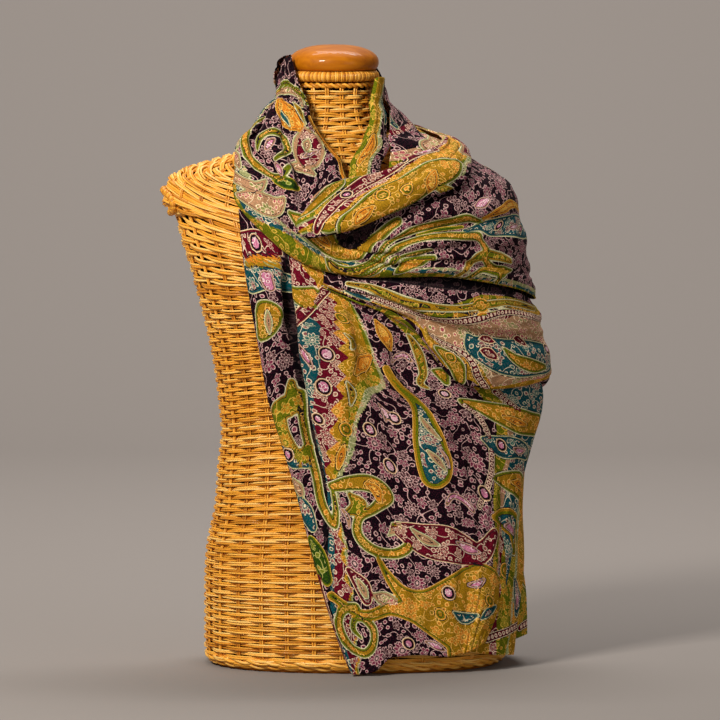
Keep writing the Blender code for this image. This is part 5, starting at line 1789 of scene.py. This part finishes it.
def weave_row(tubes, low, high, number, stakes, share=0.0, parts=1, least_room=0.0):
    """A pair of strands at a share of the way from one row to the next, one of so many parts of the room."""
    stops = stakes * STOPS
    turn = even_turns(stops)
    height = (1 - share) * row_height(low, turn) + share * row_height(high, turn)
    below, _ = form_surface(turn, row_height(low, turn))
    above, _ = form_surface(turn, row_height(high, turn))
    room = np.linalg.norm(above - below, axis=1)
    points, out = form_surface(turn, height)
    up = (above - below) / np.maximum(room, 1e-6)[:, None]
    swing = np.cos(np.arange(stops) / STOPS * math.pi + number * math.pi)
    swing = SWING * np.sign(swing) * np.abs(swing) ** 0.8
    kept = room / parts >= least_room
    strand_room = np.clip(room / parts, LEAST_ROOM, MOST_ROOM)
    runs = [(np.arange(stops), True)] if kept.all() else kept_runs(kept)
    for run, closed in runs:
        if len(run) < SHORTEST:
            continue
        dive = np.zeros(len(run))
        if not closed:
            from_end = np.minimum(np.arange(len(run)), np.arange(len(run))[::-1])
            dive = DIVE * np.exp(-(from_end / DIVE_OVER))
        for pair in (-1, 1):
            radius = strand_room[run] * PAIR_RADIUS * cane_draw.uniform(0.92, 1.06)
            shift = cane_draw.uniform(-0.25, 0.25)
            wander = shift + 0.18 * np.sin(turn[run] * cane_draw.integers(3, 9) + pair)
            inset = SWING + radius - PROUD - swing[run] + dive
            path = points[run] - out[run] * inset[:, None]
            path = path + up[run] * (pair * strand_room[run] * PAIR_APART + wander)[:, None]
            tubes.add(path, out[run], radius, closed, cane_draw.uniform())


def kept_runs(kept):
    """Unbroken runs of places where a short row is kept, going on past the starting place."""
    start = int(np.argmin(kept))
    order = np.roll(np.arange(len(kept)), -start)
    marks = np.flatnonzero(np.diff(np.concatenate([[0], kept[order].astype(int), [0]])))
    return [(order[a:b], False) for a, b in zip(marks[::2], marks[1::2])]


NECK_FROM = 603.0  # the height from which there are fewer stakes
FAN_FROM, FAN_TO = 440, 600  # heights between which short rows fill the fan
SHORT_ROW_ROOM = 3.9
ROWS_BEFORE_MIDDLE, ROWS_BEFORE_TOP = 48, 92
weaves = {"weave_low": Tubes(), "weave_middle": Tubes(), "weave_top": Tubes()}
for number, (low, high) in enumerate(zip(rows, rows[1:])):
    tubes = weaves["weave_low"]
    if number >= ROWS_BEFORE_MIDDLE:
        tubes = weaves["weave_middle"] if number < ROWS_BEFORE_TOP else weaves["weave_top"]
    stakes = NECK_STAKES if low > NECK_FROM else STAKES
    weave_row(tubes, low, high, number, stakes)
    if FAN_FROM < low < FAN_TO:
        sides = np.array([0.0, math.pi])
        here, _ = form_surface(sides, row_height(low, sides))
        there, _ = form_surface(sides, row_height(high, sides))
        spare = round(float(np.linalg.norm(there - here, axis=1).max()) / ROW_PITCH) - 1
        parts = spare + 1
        for extra in range(1, parts):
            weave_row(tubes, low, high, number + extra, stakes, extra / parts, parts, SHORT_ROW_ROOM)
print("strands wind through", STAKES, "stakes, and", NECK_STAKES, "at the neck")

# %% [markdown]
# The stakes stand in pairs inside the swing of the rows, and show only in the gaps. Borders finish the
# woven edges: a twisted rope of cane at the foot, under the neck ring and round each shoulder end.

# %% Stakes and borders
STAKE = 1.1  # radius of a stake
STAKE_APART = 1.35  # from the middle of a pair of stakes to either one
STAKE_STEP = 14  # from one place along a stake to the next
BODY_STAKES_FROM, BODY_STAKES_TO = 3.0, 600.0
NECK_STAKES_FROM, NECK_STAKES_TO = 596.0, 660.0
ROPE_STRAND = 1.1  # radius of a strand, as a share of how far it lies from the middle of its rope
LEVEL_STRANDS = 2  # strands in a level rope
END_TURN, END_HEIGHT, END_RISE = 0.40, 527, 13  # the loop round a shoulder end, in radians and millimetres
END_RADIUS, END_TWISTS, END_STRANDS = 2.2, 20, 3  # the rope of that loop
BARE_END_INSET, COVERED_END_INSET = 0.6, 4.6  # the end under the cloth stays clear of it
LEVEL_ROPES = (
    # height, radius, inset, places round it, twists
    (3.4, 1.7, 3.2, 360, 24),
    (9.2, 1.7, 2.9, 360, 24),
    (659.5, 1.6, 2.4, 180, 16),
)


def add_stakes(tubes, count, low, high):
    heights = np.linspace(low, high, max(8, int((high - low) / STAKE_STEP)))
    for turn in even_turns(count):
        for pair in (-1, 1):
            turns = np.full(len(heights), turn)
            points, out = form_surface(turns, heights)
            inset = SWING + STRAND - PROUD
            level = unit(np.cross(out, np.array([0.0, 0.0, 1.0])))
            path = points - out * inset + level * (pair * STAKE_APART)
            tubes.add(path, out, STAKE, False, cane_draw.uniform())


def add_rope(tubes, path, out, radius, twists, strands, closed):
    """Strands twisted round a path, as in the border of a basket."""
    side = unit(np.cross(np.gradient(path, axis=0), out))
    lap = np.linspace(0, 2 * math.pi * twists, len(path), endpoint=not closed)
    for strand in range(strands):
        angle = lap + 2 * math.pi * strand / strands
        coil = out * np.cos(angle)[:, None] + side * np.sin(angle)[:, None]
        tubes.add(path + coil * radius, out, radius * ROPE_STRAND, closed, cane_draw.uniform())


def level_path(height, inset, count):
    turn = even_turns(count)
    points, out = form_surface(turn, np.full(count, float(height)))
    return points - out * inset, out


def shoulder_end_path(side, count=90):
    """A loop round the end of a shoulder, on the form's surface."""
    lap = np.linspace(0, 2 * math.pi, count, endpoint=False)
    turn = (math.pi if side < 0 else 0.0) + END_TURN * np.cos(lap)
    return form_surface(turn, END_HEIGHT + END_RISE * np.sin(lap))


wicker_rest = Tubes(6)
add_stakes(wicker_rest, STAKES, BODY_STAKES_FROM, BODY_STAKES_TO)
add_stakes(wicker_rest, NECK_STAKES, NECK_STAKES_FROM, NECK_STAKES_TO)
for height, radius, inset, count, twists in LEVEL_ROPES:
    path, out = level_path(height, inset, count)
    add_rope(wicker_rest, path, out, radius, twists, LEVEL_STRANDS, True)
for side, inset in ((-1, BARE_END_INSET), (1, COVERED_END_INSET)):
    path, out = shoulder_end_path(side)
    add_rope(wicker_rest, path - out * inset, out, END_RADIUS, END_TWISTS, END_STRANDS, True)

woven_pieces = [weaves[name].piece(name, cane_finish("split cane", False), "wicker") for name in weaves]
woven_pieces.append(wicker_rest.piece("stakes_and_borders", cane_finish("stake cane", True), "wicker"))
for piece in woven_pieces:
    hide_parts("torso")

# %% [markdown]
# Inside the weave it is dark, and the real form is hollow. A thin dark brown sheet stands behind the
# strands as painted shade for that dark inside; it also keeps light from behind from shining through
# the gaps, so each gap looks deep.

# %% Painted shade behind the weave
LINING_INSET = 7.6
LINING_FOOT, LINING_TOP, LINING_STEP = 5.0, 657.0, 12.0
# painted shade: the dark brown stands for the shadow inside the hollow form
PAINTED_SHADE_SURFACE = {"Base Color": (0.040, 0.016, 0.004, 1.0), "Roughness": 0.95, "Specular IOR Level": 0.05}


def add_lining():
    around = 96
    heights = np.concatenate([np.arange(LINING_FOOT, LINING_TOP, LINING_STEP), [LINING_TOP]])
    turn = np.tile(even_turns(around), (len(heights), 1))
    points, out = form_surface(turn, np.repeat(heights[:, None], around, axis=1))
    points = points - out * LINING_INSET
    index = np.arange(points[..., 0].size).reshape(len(heights), around)
    lids = np.stack([index[0, ::-1], index[-1]])
    mesh = mesh_from_arrays("painted_shade_lining", points.reshape(-1, 3), [lapped_faces(index), lids])
    mesh.materials.append(new_material("dark lining", PAINTED_SHADE_SURFACE)[0])
    painted_shade_lining = show("painted_shade_lining", mesh)
    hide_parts("torso")


add_lining()
print("painted_shade_lining", LINING_INSET, "mm inside the weave")

# %% [markdown]
# A thin board closes the foot inside the border, so that the form stands flat. It is cut to the form's
# lowest section, and it is the face that the part rests on.

# %% Foot board
BOARD_THICK = 6.0
BOARD_EDGE = (
    # share of the foot's outline, height
    (0.955, 0.0), (0.97, 1.0), (0.97, BOARD_THICK - 1.0), (0.955, BOARD_THICK),
)


def add_foot_board():
    around = 160
    foot, _ = form_surface(even_turns(around), np.full(around, 3.0))
    centre = np.array([foot[:, 0].mean(), 0.0, 0.0])
    loops = []
    for share, height in BOARD_EDGE:
        loops.append(centre + (foot - centre) * np.array([share, share, 0.0]) + np.array([0.0, 0.0, height]))
    index = np.arange(len(loops) * around).reshape(len(loops), around)
    lids = np.stack([index[0, ::-1], index[-1]])
    mesh = mesh_from_arrays("foot_board", np.concatenate(loops), [lapped_faces(index), lids])
    mesh.materials.append(varnished_wood())
    board = show("foot_board", mesh)
    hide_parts("torso")


add_foot_board()
print("foot board", BOARD_THICK, "mm thick")

# %% [markdown]
# The neck ring is a hoop with split cane wound tightly round it, so its surface is a row of close turns.
# The cap is turned from wood on a lathe: one profile, spun round, under a coat of clear varnish.

# %% Neck ring and cap
NECK_X = -24.5
RING_HEIGHT, RING_RADIUS, RING_THICK = 670.0, 45.5, 6.0
WINDINGS = 156
CAP_FOOT = 676.3
GOLDEN = 0.618  # a step that gives neighbouring windings unlike tones


def add_neck_ring():
    around, about = WINDINGS * 6, 12
    turn = np.linspace(0, 2 * math.pi, around, endpoint=False)[:, None]
    tube = np.linspace(0, 2 * math.pi, about, endpoint=False)[None, :]
    # The windings slant a little, and lie closer here and looser there.
    lap = turn * WINDINGS + 0.7 * np.cos(tube) + 1.1 * np.sin(turn * 7) + 0.8 * np.sin(turn * 19)
    radius = RING_THICK - 1.0 + 1.0 * np.abs(np.sin(lap / 2)) ** 0.7
    level = RING_RADIUS + radius * np.cos(tube)
    height = RING_HEIGHT + radius * np.sin(tube)
    points = np.stack([level * np.cos(turn) + NECK_X, level * np.sin(turn), height], axis=-1)
    index = np.arange(around * about).reshape(around, about)
    faces = lapped_faces(np.concatenate([index, index[:1]]), turned=True)
    mesh = mesh_from_arrays("bound_ring", points.reshape(-1, 3), [faces])
    tone = np.floor(lap / (2 * math.pi)) * GOLDEN % 1.0
    place = np.stack([tube * RING_THICK + 0 * lap, np.sin(lap / 2) ** 2, tone], axis=-1)
    add_numbers(mesh, "cane_place", place.reshape(-1, 3))
    mesh.materials.append(cane_finish("bound cane", True))
    ring = show("bound_ring", mesh)
    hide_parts("neck_ring")


CAP_PROFILE = (
    # radius, height above the ring
    (0.0, 28.7), (6.0, 28.6), (18.0, 28.0), (33.0, 25.0), (44.0, 20.0), (49.5, 14.5),
    (51.0, 9.0), (50.3, 4.6), (48.6, 1.6), (46.5, 0.2), (44.0, 0.0), (0.0, 0.0),
)


def add_cap():
    profile = np.array(CAP_PROFILE)
    run = run_of(steps_between(profile[:-1], 0))
    fine = read_curve(run, profile[:-1], np.linspace(0.0, run[-1], 40), flowing_slopes)[1:]
    steps, count = 120, len(fine)
    turn = np.linspace(0, 2 * math.pi, steps, endpoint=False)[:, None]
    radius, height = fine[:, 0], np.tile(fine[:, 1], (steps, 1))
    spun = np.stack([radius * np.cos(turn), radius * np.sin(turn), height], axis=-1)
    top, foot = [0.0, 0.0, CAP_PROFILE[0][1]], [0.0, 0.0, 0.0]
    points = np.concatenate([spun.reshape(-1, 3), [top, foot]]) + np.array([NECK_X, 0.0, CAP_FOOT])
    index = np.arange(steps * count).reshape(steps, count)
    after = np.roll(index, -1, axis=0)
    sides = np.stack([index[:, :-1], index[:, 1:], after[:, 1:], after[:, :-1]], axis=-1).reshape(-1, 4)
    peak, base = steps * count, steps * count + 1
    lids = np.concatenate([
        np.stack([np.full(steps, peak), index[:, 0], after[:, 0]], axis=1),
        np.stack([np.full(steps, base), after[:, -1], index[:, -1]], axis=1),
    ])
    mesh = mesh_from_arrays("turned_cap", points, [sides, lids])
    mesh.materials.append(varnished_wood())
    cap = show("turned_cap", mesh)
    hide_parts("neck_cap")


add_neck_ring()
add_cap()
print("the cap is", round(2 * max(row[0] for row in CAP_PROFILE)), "mm across")

# %% Sizes
boxes = {"cad": cad_box, "visual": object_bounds()}
boxes = {name: [[float(x) for x in corner] for corner in box] for name, box in boxes.items()}
print("size in mm", [round(1000 * (b - a), 1) for a, b in zip(*boxes["visual"])])
